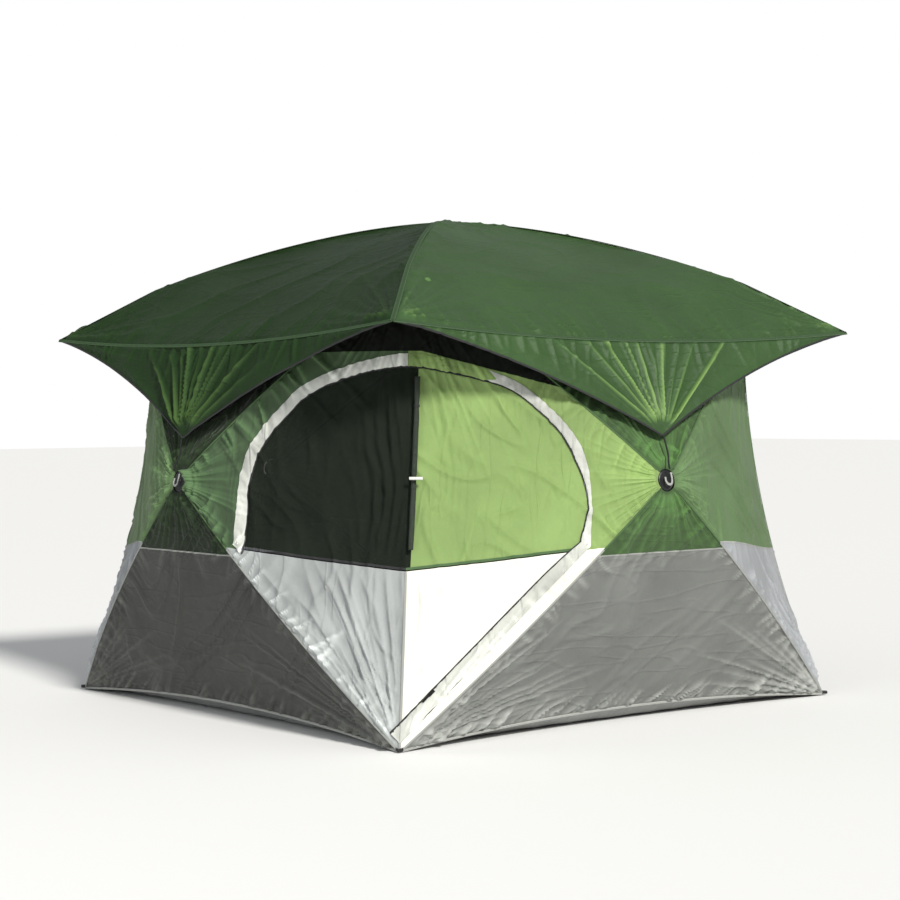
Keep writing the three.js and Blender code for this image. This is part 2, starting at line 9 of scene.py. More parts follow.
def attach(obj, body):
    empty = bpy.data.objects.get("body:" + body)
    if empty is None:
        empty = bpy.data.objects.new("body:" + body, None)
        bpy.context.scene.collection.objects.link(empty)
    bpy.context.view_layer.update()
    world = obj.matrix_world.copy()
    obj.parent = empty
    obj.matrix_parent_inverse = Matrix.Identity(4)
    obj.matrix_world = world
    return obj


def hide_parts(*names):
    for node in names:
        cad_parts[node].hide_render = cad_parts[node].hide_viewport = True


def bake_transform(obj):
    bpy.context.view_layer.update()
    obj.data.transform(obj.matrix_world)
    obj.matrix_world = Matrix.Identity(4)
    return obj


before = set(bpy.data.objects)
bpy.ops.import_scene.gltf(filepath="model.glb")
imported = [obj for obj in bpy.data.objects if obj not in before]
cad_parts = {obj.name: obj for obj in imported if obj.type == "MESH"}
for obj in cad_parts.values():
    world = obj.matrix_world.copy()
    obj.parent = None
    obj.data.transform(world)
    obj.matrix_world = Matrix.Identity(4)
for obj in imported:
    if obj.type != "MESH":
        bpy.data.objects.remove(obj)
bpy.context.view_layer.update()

# Driving dimensions, in metres: the CAD model's own, but for WINDOW_EDGE
BASE_HALF, TOP_HALF, TOP_Z = 1.195, 0.950, 1.820
HUB_OUT, HUB_Z, ROOF_Z = 1.420, 0.997, 2.105
WALL_BOW, ROOF_BOW, CREASE_DRAW = 0.045, 0.050, 0.075
FLY_TIP, FLY_TIP_Z, FLY_TOP_Z, FLY_SAG = 1.270, 1.615, 2.131, 0.055
FLAP_OUT, FLAP_Z = 1.395, 1.175
HUB_HOLE = 0.047          # radius of the hemmed hole in the fabric at a hub
SEAM_SIDE_Z, SEAM_MIDDLE_Z = 0.732, 0.662   # the green-to-grey seam beside the pole and at the crease
WALL_SEAM_Z = 0.705       # the same seam across a wall's lower triangle
ROLL_R = 0.015            # the rolled window cover
ROLL_TIGHT, ROLL_CLEAR = 0.68 * ROLL_R, ROLL_R + 0.005   # its cloth's radius, and its axis off the wall
WINDOW_EDGE, WINDOW_EDGE_Z = (0.018, 0.040), (0.700, 1.450)   # across from the crease, low and high
CREST_RANGE, CREST_HIGHLIGHT_RANGE = (-0.006, 0.018), (0.007, 0.024)   # fold heights over which painted shade in hollows turns to painted highlight on crests, and over which the painted highlight colour is mixed in
BENT_PATTERN = 0.32       # a flat pattern that fills less of its box than this is taken as a strip
SINK_PAST = 0.14          # how far past the roof hub a gore's blend line ends, as a share of its length
SIDES = ["east", "north", "west", "south"]
CORNERS = ["southeast", "northeast", "northwest", "southwest"]
WALL_TILT = math.atan2(BASE_HALF - TOP_HALF, TOP_Z)
OUT = np.array([math.cos(WALL_TILT), 0, math.sin(WALL_TILT)])
DIAGONAL = np.array([1, -1, 0]) / math.sqrt(2)
ACROSS = np.array([1, 1, 0]) / math.sqrt(2)


def vec(*values):
    return np.array(values, float)


def turned(points, quarter_turns):
    angle = quarter_turns * math.pi / 2
    c, s = round(math.cos(angle)), round(math.sin(angle))
    return points @ np.array([[c, -s, 0], [s, c, 0], [0, 0, 1]], float).T


# ---------------------------------------------------------------- noise and folds

# How high folds and puckers stand, how far they reach, and how wide they are, in metres
HUB_FOLDS = dict(height=0.016, reach=0.44, width=0.008)
CORNER_FOLDS = dict(height=0.019, reach=0.66, width=0.010)
SEAM_PUCKERS = dict(reach=0.15, width=0.008)
HEM_PUCKERS = dict(height=0.022, reach=0.15, width=0.008)
FLY_TIP_FOLDS = dict(height=0.015, reach=0.80, width=0.010)
FLY_APEX_FOLDS = dict(height=0.006, reach=0.6, width=0.010)
EAVE_PUCKERS = dict(height=0.012, reach=0.17, width=0.010)
FLY_SEAM_PUCKERS = dict(height=0.009, reach=0.14, width=0.009)
FLAP_TIP_FOLDS = dict(height=0.016, reach=0.8, width=0.010)
FLAP_PUCKERS = dict(height=0.015, reach=0.17, width=0.010)


def gradient_noise(x, y, seed):
    """Smooth noise from about -1 to 1 over two arrays."""
    random = np.random.RandomState(seed)
    order = random.permutation(256)
    angles = random.rand(256) * 2 * math.pi
    grid_x, grid_y = np.floor(x).astype(int), np.floor(y).astype(int)
    fx, fy = x - grid_x, y - grid_y
    ease_x, ease_y = fx**3 * (fx * (6 * fx - 15) + 10), fy**3 * (fy * (6 * fy - 15) + 10)

    def corner(i, j):
        angle = angles[order[(order[(grid_x + i) & 255] + grid_y + j) & 255]]
        return np.cos(angle) * (fx - i) + np.sin(angle) * (fy - j)

    low = corner(0, 0) * (1 - ease_x) + corner(1, 0) * ease_x
    high = corner(0, 1) * (1 - ease_x) + corner(1, 1) * ease_x
    return 1.5 * (low * (1 - ease_y) + high * ease_y)


def creases(x, y, seed, sharp=2.2):
    """Narrow raised folds, 0 to 1, where the noise changes sign."""
    return np.clip(1 - np.abs(gradient_noise(x, y, seed)) * sharp, 0, 1) ** 1.6


def fan(distance, angle, span, count, seed, height, reach, width):
    """Sharp folds that radiate from a point, each with its own direction, length and height."""
    random = np.random.RandomState(seed)
    total = np.zeros(distance.shape)
    for k in range(count):
        heading = span[0] + (span[1] - span[0]) * (k + random.uniform(0.15, 0.85)) / count
        long = reach * random.uniform(0.55, 1.15)
        lift = height * random.uniform(0.45, 1.25)
        offset = distance * np.sin(np.clip(angle - heading, -1.5, 1.5))
        wide = width * random.uniform(0.7, 1.4) * (0.45 + 0.9 * distance / reach)
        fade = np.clip(1 - distance / long, 0, 1) ** 0.8 * smooth(distance, 0.03, 0.10)
        total += lift * np.exp(-np.abs(offset / wide) ** 1.4) * fade
    return total


def puckers(along, away, length, spacing, seed, height, reach, width):
    """Short folds that cross a seam: along it, and away from it."""
    random = np.random.RandomState(seed)
    total = np.zeros(along.shape)
    place = random.uniform(0.3, 1.0) * spacing
    while place < length:
        lean, long = random.uniform(-0.35, 0.35), reach * random.uniform(0.4, 1.3)
        lift, wide = height * random.uniform(0.2, 1.2), width * random.uniform(0.7, 1.5)
        fade = np.clip(1 - away / long, 0, 1) ** 0.7
        total += lift * np.exp(-np.abs((along - place - lean * away) / wide) ** 1.6) * fade
        place += spacing * random.uniform(0.5, 1.6)
    return total


def smooth(x, low, high):
    t = np.clip((x - low) / (high - low), 0, 1)
    return t * t * (3 - 2 * t)


# ---------------------------------------------------------------- materials

def new_material(name):
    material = bpy.data.materials.new(name)
    material.use_nodes = True
    tree = material.node_tree
    return material, tree, tree.nodes["Principled BSDF"]


def node(tree, kind, **inputs):
    made = tree.nodes.new(kind)
    for key, value in inputs.items():
        if key in made.inputs:
            made.inputs[key].default_value = value
        else:
            setattr(made, key, value)
    return made


def rgb(text):
    """A linear colour from an sRGB hex code."""
    parts = [int(text[k : k + 2], 16) / 255 for k in (0, 2, 4)]
    return [p / 12.92 if p <= 0.04045 else ((p + 0.055) / 1.055) ** 2.4 for p in parts] + [1.0]


def plug(tree, socket, value):
    """Links a socket to another node's output, or sets it to a constant."""
    if hasattr(value, "is_linked"):
        tree.links.new(value, socket)
    else:
        socket.default_value = value


def mix_colour(tree, factor, a, b, blend="MIX"):
    mixer = node(tree, "ShaderNodeMix", data_type="RGBA", blend_type=blend)
    for k, value in ((0, factor), (6, a), (7, b)):
        plug(tree, mixer.inputs[k], value)
    return mixer.outputs[2]


def calc(tree, operation, a, b=None):
    made = node(tree, "ShaderNodeMath", operation=operation)
    for socket, value in zip(made.inputs, (a, b)):
        if value is not None:
            plug(tree, socket, value)
    return made.outputs[0]


def ramp(tree, value, low, high, bottom, top):
    """A value carried from low..high to bottom..top, and held at the ends."""
    made = tree.nodes.new("ShaderNodeMapRange")
    for socket, setting in zip(made.inputs, (value, low, high, bottom, top)):
        plug(tree, socket, setting)
    return made.outputs[0]


def noise(tree, place, **settings):
    made = node(tree, "ShaderNodeTexNoise", **settings)
    tree.links.new(place, made.inputs["Vector"])
    return made.outputs["Fac"]


def bump(tree, height, strength, distance, under=None):
    made = node(tree, "ShaderNodeBump", Strength=strength, Distance=distance)
    tree.links.new(height, made.inputs["Height"])
    if under is not None:
        tree.links.new(under, made.inputs["Normal"])
    return made.outputs[0]


def uv_map(tree, name="weave"):
    """A map's coordinates together, then apart as X and Y."""
    both = node(tree, "ShaderNodeUVMap", uv_map=name).outputs[0]
    split = tree.nodes.new("ShaderNodeSeparateXYZ")
    tree.links.new(both, split.inputs[0])
    return both, split.outputs["X"], split.outputs["Y"]


def wave(tree, value, per_metre):
    return calc(tree, "SINE", calc(tree, "MULTIPLY", value, per_metre * 2 * math.pi))


def set_shader(tree, shader, **values):
    """Sets or links the shader's sockets; an underscore stands for a space in a socket's name."""
    for key, value in values.items():
        plug(tree, shader.inputs[key.replace("_", " ")], value)


def crease_lines(tree, coordinates):
    """Thin ridges where a noise crosses its middle: the small sharp creases of folded polyester."""
    stretch = tree.nodes.new("ShaderNodeMapping")
    tree.links.new(coordinates, stretch.inputs["Vector"])
    stretch.inputs["Rotation"].default_value = (0, 0, 0.6)
    stretch.inputs["Scale"].default_value = (0.45, 2.2, 1.0)
    wander = noise(tree, stretch.outputs[0], Scale=5.0, Detail=1.0, Roughness=0.5, Distortion=0.25)
    off_middle = calc(tree, "ABSOLUTE", calc(tree, "SUBTRACT", wander, 0.5))
    return ramp(tree, off_middle, 0.0, 0.045, 1.0, 0.0)


def fabric_colour(tree, weave, fine, colour, second, worn, variation, crest_gain, crest_highlight_colour):
    """Mottled cloth with painted highlights on its fold crests and painted shade in its fold hollows; the map
    zone holds the seam's side and the fold's height.
    """
    _, seam_side, fold_height = uv_map(tree, "zone")
    base = rgb(colour)
    if second:
        base = mix_colour(tree, calc(tree, "GREATER_THAN", seam_side, 0.0), rgb(second), rgb(colour))
    cloud = noise(tree, weave, Scale=2.3, Detail=5.0, Roughness=0.55)
    mottle = ramp(tree, cloud, 0.3, 0.7, 1 - variation, 1 + variation)
    # Painted light: fold crests are brightened and fold hollows darkened by fold height, not by any lamp.
    lit = calc(tree, "MULTIPLY", mottle,
               ramp(tree, fold_height, *CREST_RANGE, 1 - 0.35 * crest_gain, 1 + crest_gain))
    grey = tree.nodes.new("ShaderNodeCombineColor")
    for k in range(3):
        tree.links.new(lit, grey.inputs[k])
    shaded = mix_colour(tree, 1.0, base, grey.outputs[0], "MULTIPLY")
    final = mix_colour(tree, ramp(tree, fine, 0.56, 0.78, 0.0, 0.12), shaded, rgb(worn))
    # Painted highlight: a glint colour is mixed onto the highest fold crests.
    if crest_highlight_colour:
        final = mix_colour(tree, ramp(tree, fold_height, *CREST_HIGHLIGHT_RANGE, 0.0, 0.8), final, rgb(crest_highlight_colour))
    return final


def fabric(name, colour, second=None, worn="8a9080", roughness=0.72, sheen=0.12, threads=420,
           variation=0.16, crinkle=0.35, shine=0.5, crest_gain=0.8, crest_highlight_colour=None):
    """Coated polyester: mottled and scuffed colour, painted highlights and shade on its folds, crumples,
    small creases and a plain weave.
    """
    material, tree, shader = new_material(name)
    weave, across, along = uv_map(tree)
    fine = noise(tree, weave, Scale=38.0, Detail=4.0, Roughness=0.6)
    colours = fabric_colour(tree, weave, fine, colour, second, worn, variation, crest_gain, crest_highlight_colour)
    crumple = noise(tree, weave, Scale=13.0, Detail=6.0, Roughness=0.6, Distortion=0.6)
    normal = bump(tree, crumple, crinkle, 0.012)
    normal = bump(tree, crease_lines(tree, weave), 0.8 * crinkle, 0.010, normal)
    thread_height = calc(tree, "MULTIPLY", wave(tree, across, threads), wave(tree, along, threads))
    normal = bump(tree, thread_height, 0.25, 0.0006, normal)
    set_shader(tree, shader, Base_Color=colours, Normal=normal, Specular_IOR_Level=shine,
               Roughness=ramp(tree, fine, 0.0, 1.0, roughness - 0.12, roughness + 0.12),
               Sheen_Weight=sheen, Sheen_Roughness=0.4)
    return material


def netting(name, colour, cover, faded):
    """Insect mesh: thin threads with holes that the eye reads as a dark veil."""
    material, tree, shader = new_material(name)
    weave, across, along = uv_map(tree)
    threads = calc(tree, "MAXIMUM", wave(tree, across, 330), wave(tree, along, 330))
    cloud = noise(tree, weave, Scale=3.0, Detail=4.0)
    set_shader(tree, shader, Base_Color=mix_colour(tree, cloud, rgb(colour), rgb(faded)),
               Alpha=ramp(tree, threads, -1.0, 1.0, cover - 0.2, min(cover + 0.15, 1.0)),
               Roughness=0.8, Specular_IOR_Level=0.2, Normal=bump(tree, threads, 0.4, 0.0008))
    return material


def webbing(name, colour, thread_colour="8d8f88", pitch=260.0, stitched=True):
    """Ribbed tape, with a line of stitches along each edge of its UV strip."""
    material, tree, shader = new_material(name)
    strip, across, along = uv_map(tree)
    cloud = noise(tree, strip, Scale=30.0, Detail=4.0)
    base = mix_colour(tree, cloud, rgb(colour), [c * 1.35 for c in rgb(colour)[:3]] + [1.0])
    if stitched:
        dash = calc(tree, "GREATER_THAN", calc(tree, "SINE", calc(tree, "MULTIPLY", along, 900.0)), -0.2)
        off_middle = calc(tree, "ABSOLUTE", calc(tree, "SUBTRACT", across, 0.5))
        off_line = calc(tree, "ABSOLUTE", calc(tree, "SUBTRACT", off_middle, 0.32))
        stitches = calc(tree, "MULTIPLY", dash, calc(tree, "LESS_THAN", off_line, 0.035))
        base = mix_colour(tree, stitches, base, rgb(thread_colour))
    set_shader(tree, shader, Base_Color=base, Roughness=0.65,
               Normal=bump(tree, wave(tree, along, pitch), 0.5, 0.0008))
    return material


def moulded(name, colour, roughness=0.45, metallic=0.0, coat=0.0):
    """Moulded plastic or painted metal with a fine grain and rubbed patches."""
    material, tree, shader = new_material(name)
    place = tree.nodes.new("ShaderNodeTexCoord").outputs["Object"]
    grain = noise(tree, place, Scale=180.0, Detail=3.0)
    rub = noise(tree, place, Scale=22.0, Detail=5.0, Roughness=0.6)
    bright = [min(c * 1.9 + 0.012, 1.0) for c in rgb(colour)[:3]] + [1.0]
    rubbed = mix_colour(tree, ramp(tree, rub, 0.5, 0.75, 0.0, 0.6), rgb(colour), bright)
    set_shader(tree, shader, Base_Color=rubbed, Metallic=metallic, Coat_Weight=coat,
               Roughness=ramp(tree, rub, 0.0, 1.0, roughness - 0.1, roughness + 0.14),
               Normal=bump(tree, grain, 0.15, 0.0006))
    return material


MATERIALS = {
    "wall_fabric": fabric("wall_fabric", "304a22", "6c6e6b", "5c7048", crest_gain=1.8),
    # Painted shade: the same wall fabric, darkened for the south wall's triangles.
    "wall_fabric_painted_shade": fabric("wall_fabric_painted_shade", "14210e", "424340", "3b4c2e", shine=0.3, crest_gain=1.8),
    "corner_fabric": fabric("corner_fabric", "516b42", "8f9295", "7d9a66"),
    # Painted sunlight and painted shade: the next two are the corner fabric brightened for the door corner's
    # right half and darkened for its left half.
    "corner_fabric_painted_sunlit": fabric("corner_fabric_painted_sunlit", "7c9655", "e4e3d8", "a5bf80", crest_gain=0.35),
    "corner_fabric_painted_shade": fabric("corner_fabric_painted_shade", "384e30", "989c9b", "6d8a5a", crest_gain=1.3),
    # The flysheet's crest colours are painted highlights on its fold crests.
    "fly_fabric": fabric("fly_fabric", "334e29", worn="5c7c45", roughness=0.46, sheen=0.02, shine=0.3,
                         crest_gain=0.5, crest_highlight_colour="86a85c"),
    # Painted shade: the same flysheet fabric, darkened for the south and west gores and flaps.
    "fly_fabric_painted_shade": fabric("fly_fabric_painted_shade", "20341a", worn="39522c", roughness=0.46, sheen=0.0,
                             shine=0.12, crest_gain=0.5, crest_highlight_colour="4c6636"),
    # Painted sunlight: the door panel's green is the brightened green of the door corner's right half.
    "door_fabric": fabric("door_fabric", "7c9655", worn="a5bf80", crest_gain=0.4),
    # Painted sunlight and painted shade: the lower door's grey, near white on the right half and darkened on
    # the left half.
    "lower_door_painted_sunlit": fabric("lower_door_painted_sunlit", "e4e3d8", worn="f0efe6"),
    "lower_door_painted_shade": fabric("lower_door_painted_shade", "969a99", worn="b9bcba"),
    # The band's second colour is the painted-sunlit green of the right half, shown where the band is turned
    # under.
    "band_fabric": fabric("storm_band", "babcb5", "7c9655", "83867e", threads=300, variation=0.25,
                          crinkle=0.7),
    "floor_fabric": fabric("groundsheet", "8a8c8a", worn="a3a5a3", roughness=0.5),
    "mesh_fabric": netting("netting", "0d120c", 0.90, "1f281d"),
    "roof_mesh": netting("roof_netting", "151a15", 0.80, "2b352b"),
    # Near-black vent netting, made darker as painted shade under the fly; on the right half it is painted
    # shadow of the flap.
    "vent_and_shadow_mesh": netting("vent_and_shadow_netting", "070a06", 0.97, "10150e"),
    "seam_tape": webbing("seam_tape", "3c5831", thread_colour="6d8a5c"),
    "light_tape": webbing("light_tape", "8b8d89", thread_colour="b4b6b1"),
    "fly_tape": webbing("fly_seam_tape", "263f1f", thread_colour="56754a"),
    "black_webbing": webbing("black_webbing", "141516", thread_colour="55575a"),
    "grey_webbing": webbing("grey_webbing", "8d8f8b", thread_colour="e2e2dc"),
    "black_plastic": moulded("hub_plastic", "17181a"),
    "pole_fibreglass": moulded("pole_glass_fibre", "23272b", roughness=0.35, coat=0.4),
    "toggle_plastic": moulded("toggle_plastic", "dcdcd6", roughness=0.35),
    "zip_metal": moulded("zip_metal", "1c1d1f", roughness=0.35, metallic=0.7),
    "black_cord": webbing("black_cord", "151617", pitch=700.0, stitched=False),
    "cover_fabric": fabric("rolled_cover", "1c2719", worn="33432d"),
}


# ---------------------------------------------------------------- meshes

def make_mesh(name, points, faces, material, weave=None, zone=None, shade_smooth=True):
    """A mesh object from arrays, with the UV maps weave and zone given per vertex."""
    mesh = bpy.data.meshes.new(name)
    if isinstance(faces, np.ndarray):
        mesh.vertices.add(len(points))
        mesh.vertices.foreach_set("co", np.asarray(points, np.float32).ravel())
        mesh.loops.add(faces.size)
        mesh.loops.foreach_set("vertex_index", faces.ravel().astype(np.int32))
        mesh.polygons.add(len(faces))
        mesh.polygons.foreach_set("loop_start", np.arange(0, faces.size, 3, dtype=np.int32))
        mesh.update(calc_edges=True)
    else:
        mesh.from_pydata(points.tolist(), [], [tuple(int(i) for i in f) for f in faces])
    corners = np.empty(len(mesh.loops), int)
    mesh.loops.foreach_get("vertex_index", corners)
    for label, values in (("weave", weave), ("zone", zone)):
        if values is None:
            continue
        layer = mesh.uv_layers.new(name=label)
        layer.data.foreach_set("uv", np.asarray(values, np.float32)[corners].ravel())
    mesh.materials.append(MATERIALS[material])
    mesh.polygons.foreach_set("use_smooth", np.full(len(mesh.polygons), shade_smooth))
    mesh.update()
    made = bpy.data.objects.new(name, mesh)
    bpy.context.scene.collection.objects.link(made)
    return made


def grid_faces(rows, columns, closed=False):
    """Triangles of a grid, split along alternating diagonals."""
    faces = []
    for i in range(rows - 1):
        for j in range(columns if closed else columns - 1):
            k = (j + 1) % columns
            a, b, c, d = i * columns + j, i * columns + k, (i + 1) * columns + j, (i + 1) * columns + k
            faces += [(a, c, d), (a, d, b)] if (i + j) % 2 else [(a, c, b), (b, c, d)]
    return np.array(faces)


def normals_of(points, faces):
    a, b, c = (points[faces[:, k]] for k in range(3))
    face_normals = np.cross(b - a, c - a)
    total = np.zeros_like(points)
    for k in range(3):
        np.add.at(total, faces[:, k], face_normals)
    return total / np.maximum(np.linalg.norm(total, axis=1, keepdims=True), 1e-12)


def facing(points, faces, outward):
    """The faces, turned so that their normals point outward, and those normals."""
    normals = normals_of(points, faces)
    if np.dot(normals.mean(axis=0), outward) < 0:
        return faces[:, ::-1], -normals
    return faces, normals


def capped_faces(rows, columns):
    """The faces of a closed tube, with a cap on each end."""
    count = rows * columns
    faces = [tuple(f) for f in grid_faces(rows, columns, closed=True)]
    return faces + [tuple(range(columns)), tuple(reversed(range(count - columns, count)))]


def lengths_along(line):
    return np.concatenate([[0], np.cumsum(np.linalg.norm(np.diff(line, axis=0), axis=1))])


class Cloth:
    """A sheet as arrays: points, triangles, its flat weave coordinates, and named values at each point."""

    def __init__(self, points, faces, weave, **fields):
        self.points, self.faces, self.weave, self.fields = points, faces, weave, fields

    def cut(self, rule):
        """The part where rule(fields) is above 0, cut cleanly along its zero line."""
        names = list(self.fields)
        value = np.asarray(rule(self.fields), float)
        tracks = [self.points, self.weave, value] + [self.fields[n] for n in names]
        added = [[] for _ in tracks]
        inside = value[self.faces] > 0
        kept = [tuple(f) for f in self.faces[inside.all(axis=1)]]
        cuts, count = {}, len(self.points)

        def crossing(i, j):
            key = (min(i, j), max(i, j))
            if key not in cuts:
                share = value[key[0]] / (value[key[0]] - value[key[1]])
                cuts[key] = count + len(cuts)
                for track, extra in zip(tracks, added):
                    extra.append(track[key[0]] * (1 - share) + track[key[1]] * share)
            return cuts[key]

        for face in self.faces[inside.any(axis=1) & ~inside.all(axis=1)]:
            ring = []
            for i, j in zip(face, np.roll(face, -1)):
                if value[i] > 0:
                    ring.append(i)
                if (value[i] > 0) != (value[j] > 0):
                    ring.append(crossing(i, j))
            kept += [(ring[0], ring[k], ring[k + 1]) for k in range(1, len(ring) - 1)]
        if cuts:
            tracks = [np.concatenate([track, np.array(extra)]) for track, extra in zip(tracks, added)]
        faces = np.array(kept)
        used, faces = np.unique(faces, return_inverse=True)
        tracks = [track[used] for track in tracks]
        return Cloth(tracks[0], faces.reshape(-1, 3), tracks[1], **dict(zip(names, tracks[3:])))

    def raised(self, height):
        """The same sheet, lifted along its normals."""
        lift = np.broadcast_to(height, len(self.points))
        moved = self.points + self.fields["normal"] * lift[:, None]
        return Cloth(moved, self.faces, self.weave, **self.fields)

    def piece(self, name, material):
        nothing = np.zeros(len(self.points))
        # The zone map's second coordinate is fold height, which the fabric shader turns into painted
        # highlights on crests and painted shade in hollows.
        zone = np.stack([self.fields.get("zone", nothing), self.fields.get("crest", nothing)], axis=1)
        return make_mesh(name, self.points, self.faces, material, self.weave, zone)

    def flat_size(self):
        """The width, length and area of the flat pattern, from the weave coordinates."""
        low, high = self.weave.min(axis=0), self.weave.max(axis=0)
        a, b, c = (self.weave[self.faces[:, k]] for k in range(3))
        area = 0.5 * np.abs((b - a)[:, 0] * (c - a)[:, 1] - (b - a)[:, 1] * (c - a)[:, 0]).sum()
        return float(high[0] - low[0]), float(high[1] - low[1]), float(area)


def declare(cloth):
    """Works out a sheet's flat width, length and area, a narrow or bent pattern as a strip of the same area;
    nothing is done with them.
    """
    width, length, area = cloth.flat_size()
    if area < BENT_PATTERN * width * length:
        long = math.hypot(width, length)
        width, length = area / long, long


def settle(piece, body, slot, replaced=(), blend_to=None, start=None, end=None):
    """Parents a piece to its body, or with blend_to given only bakes its transform in place, and hides the
    CAD nodes it replaces; slot, start and end are not used.
    """
    if blend_to:
        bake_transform(piece)
    else:
        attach(piece, body)
    if replaced:
        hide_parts(*replaced)
    return piece


def cord(name, points, radius, material, sides=10):
    """A closed round cord along a list of points."""
    along = np.gradient(points, axis=0)
    along /= np.linalg.norm(along, axis=1, keepdims=True)
    side = np.cross(along, vec(0, 0, 1))
    side /= np.maximum(np.linalg.norm(side, axis=1, keepdims=True), 1e-9)
    angles = np.arange(sides) * 2 * math.pi / sides
    rings = [p + radius * (np.outer(np.cos(angles), s) + np.outer(np.sin(angles), u))
             for p, s, u in zip(points, side, np.cross(side, along))]
    weave = np.array([[k / sides, l] for l in lengths_along(points) for k in range(sides)])
    return make_mesh(name, np.concatenate(rings), capped_faces(len(points), sides), material, weave)


def ribbon(name, line, normals, width, thick, material, sideways=None):
    """A closed flat tape along a line: width across it, thick along the normals."""
    along = np.gradient(line, axis=0)
    along /= np.maximum(np.linalg.norm(along, axis=1, keepdims=True), 1e-9)
    side = np.cross(normals, along) if sideways is None else sideways
    side = side / np.maximum(np.linalg.norm(side, axis=1, keepdims=True), 1e-9)
    section = [(-0.5, 0.0), (-0.5, 0.6), (-0.3, 1.0), (0.3, 1.0), (0.5, 0.6), (0.5, 0.0)]
    rings = [[p + width * x * s + thick * y * n for x, y in section] for p, s, n in zip(line, side, normals)]
    body = np.array(rings).reshape(-1, 3)
    weave = np.array([[x + 0.5, l] for l in lengths_along(line) for x, _ in section])
    return make_mesh(name, body, capped_faces(len(line), len(section)), material, weave, shade_smooth=False)


# ---------------------------------------------------------------- the fabric body's surfaces

class Patch:
    """A curved triangle of fabric from a hub to the edge a-b, as in the CAD model."""

    def __init__(self, hub, a, b, bow, edge_bow, turn, name):
        self.hub, self.a, self.b = (turned(p, turn) for p in (hub, a, b))
        self.bow, self.edge_bow = turned(bow, turn), turned(edge_bow, turn)
        self.name = name
        foot = np.dot(self.hub - self.a, self.b - self.a) / np.dot(self.b - self.a, self.b - self.a)
        self.foot = self.a + foot * (self.b - self.a)

    def at(self, s, t):
        s, t = np.asarray(s, float)[..., None], np.asarray(t, float)[..., None]
        u, v, w = 1 - s, s * (1 - t), s * t
        flat = u * self.hub + v * self.a + w * self.b
        return flat + 4 * u * (v + w) * self.bow + 4 * v * w * self.edge_bow

    def weave(self, points):
        """Flat cloth coordinates: along the edge a-b, and from it towards the hub."""
        along = (self.b - self.a) / np.linalg.norm(self.b - self.a)
        inward = (self.hub - self.foot) / np.linalg.norm(self.hub - self.foot)
        return np.stack([(points - self.a) @ along, (points - self.a) @ inward], axis=1)

    def blend_line(self):
        """A line from the edge to a little past the hub, handed to settle, which does not use it."""
        return self.foot, self.foot + (self.hub - self.foot) / 0.88

    def grid(self, rows, columns):
        """Shares s and t over the patch, from the hub's hole to the edge, and each column's length."""
        t = np.linspace(0, 1, columns)
        reach = np.linalg.norm(self.at(np.ones(columns), t) - self.hub, axis=1)
        first = HUB_HOLE / reach
        share = np.linspace(0, 1, rows)[:, None]
        return first + (1 - first) * share, np.broadcast_to(t, (rows, columns)), reach


BASE_RIGHT, TOP_RIGHT = vec(BASE_HALF, BASE_HALF, 0), vec(TOP_HALF, TOP_HALF, TOP_Z)
BASE_LEFT, TOP_LEFT = BASE_RIGHT * vec(1, -1, 1), TOP_RIGHT * vec(1, -1, 1)
EDGE_SAG = vec(-0.015, 0, -0.060)   # of the cloth between two crown corners
WALL_EAST = {
    "lower": (BASE_LEFT, BASE_RIGHT, vec(-0.018, 0, 0.055)),
    "right": (BASE_RIGHT, TOP_RIGHT, vec(-CREASE_DRAW, -CREASE_DRAW, 0)),
    "upper": (TOP_RIGHT, TOP_LEFT, EDGE_SAG),
    "left": (TOP_LEFT, BASE_LEFT, vec(-CREASE_DRAW, CREASE_DRAW, 0)),
}


def wall_patch(turn, part):
    a, b, edge_bow = WALL_EAST[part]
    return Patch(vec(HUB_OUT, 0, HUB_Z), a, b, OUT * WALL_BOW, edge_bow, turn, f"{SIDES[turn % 4]}_{part}")


def roof_patch(turn):
    return Patch(vec(0, 0, ROOF_Z), TOP_LEFT, TOP_RIGHT, vec(0, 0, ROOF_BOW), EDGE_SAG, turn,
                 f"inner_roof_{SIDES[turn]}")


def seam_height(part, points):
    """Height of the green-to-grey seam over a point of the walls."""
    if part == "lower":
        return np.full(len(points), WALL_SEAM_Z)
    closeness = np.minimum(np.abs(points[:, 0]), np.abs(points[:, 1])) / BASE_HALF
    return SEAM_SIDE_Z - (SEAM_SIDE_Z - SEAM_MIDDLE_Z) * smooth(closeness, 0.25, 0.85)


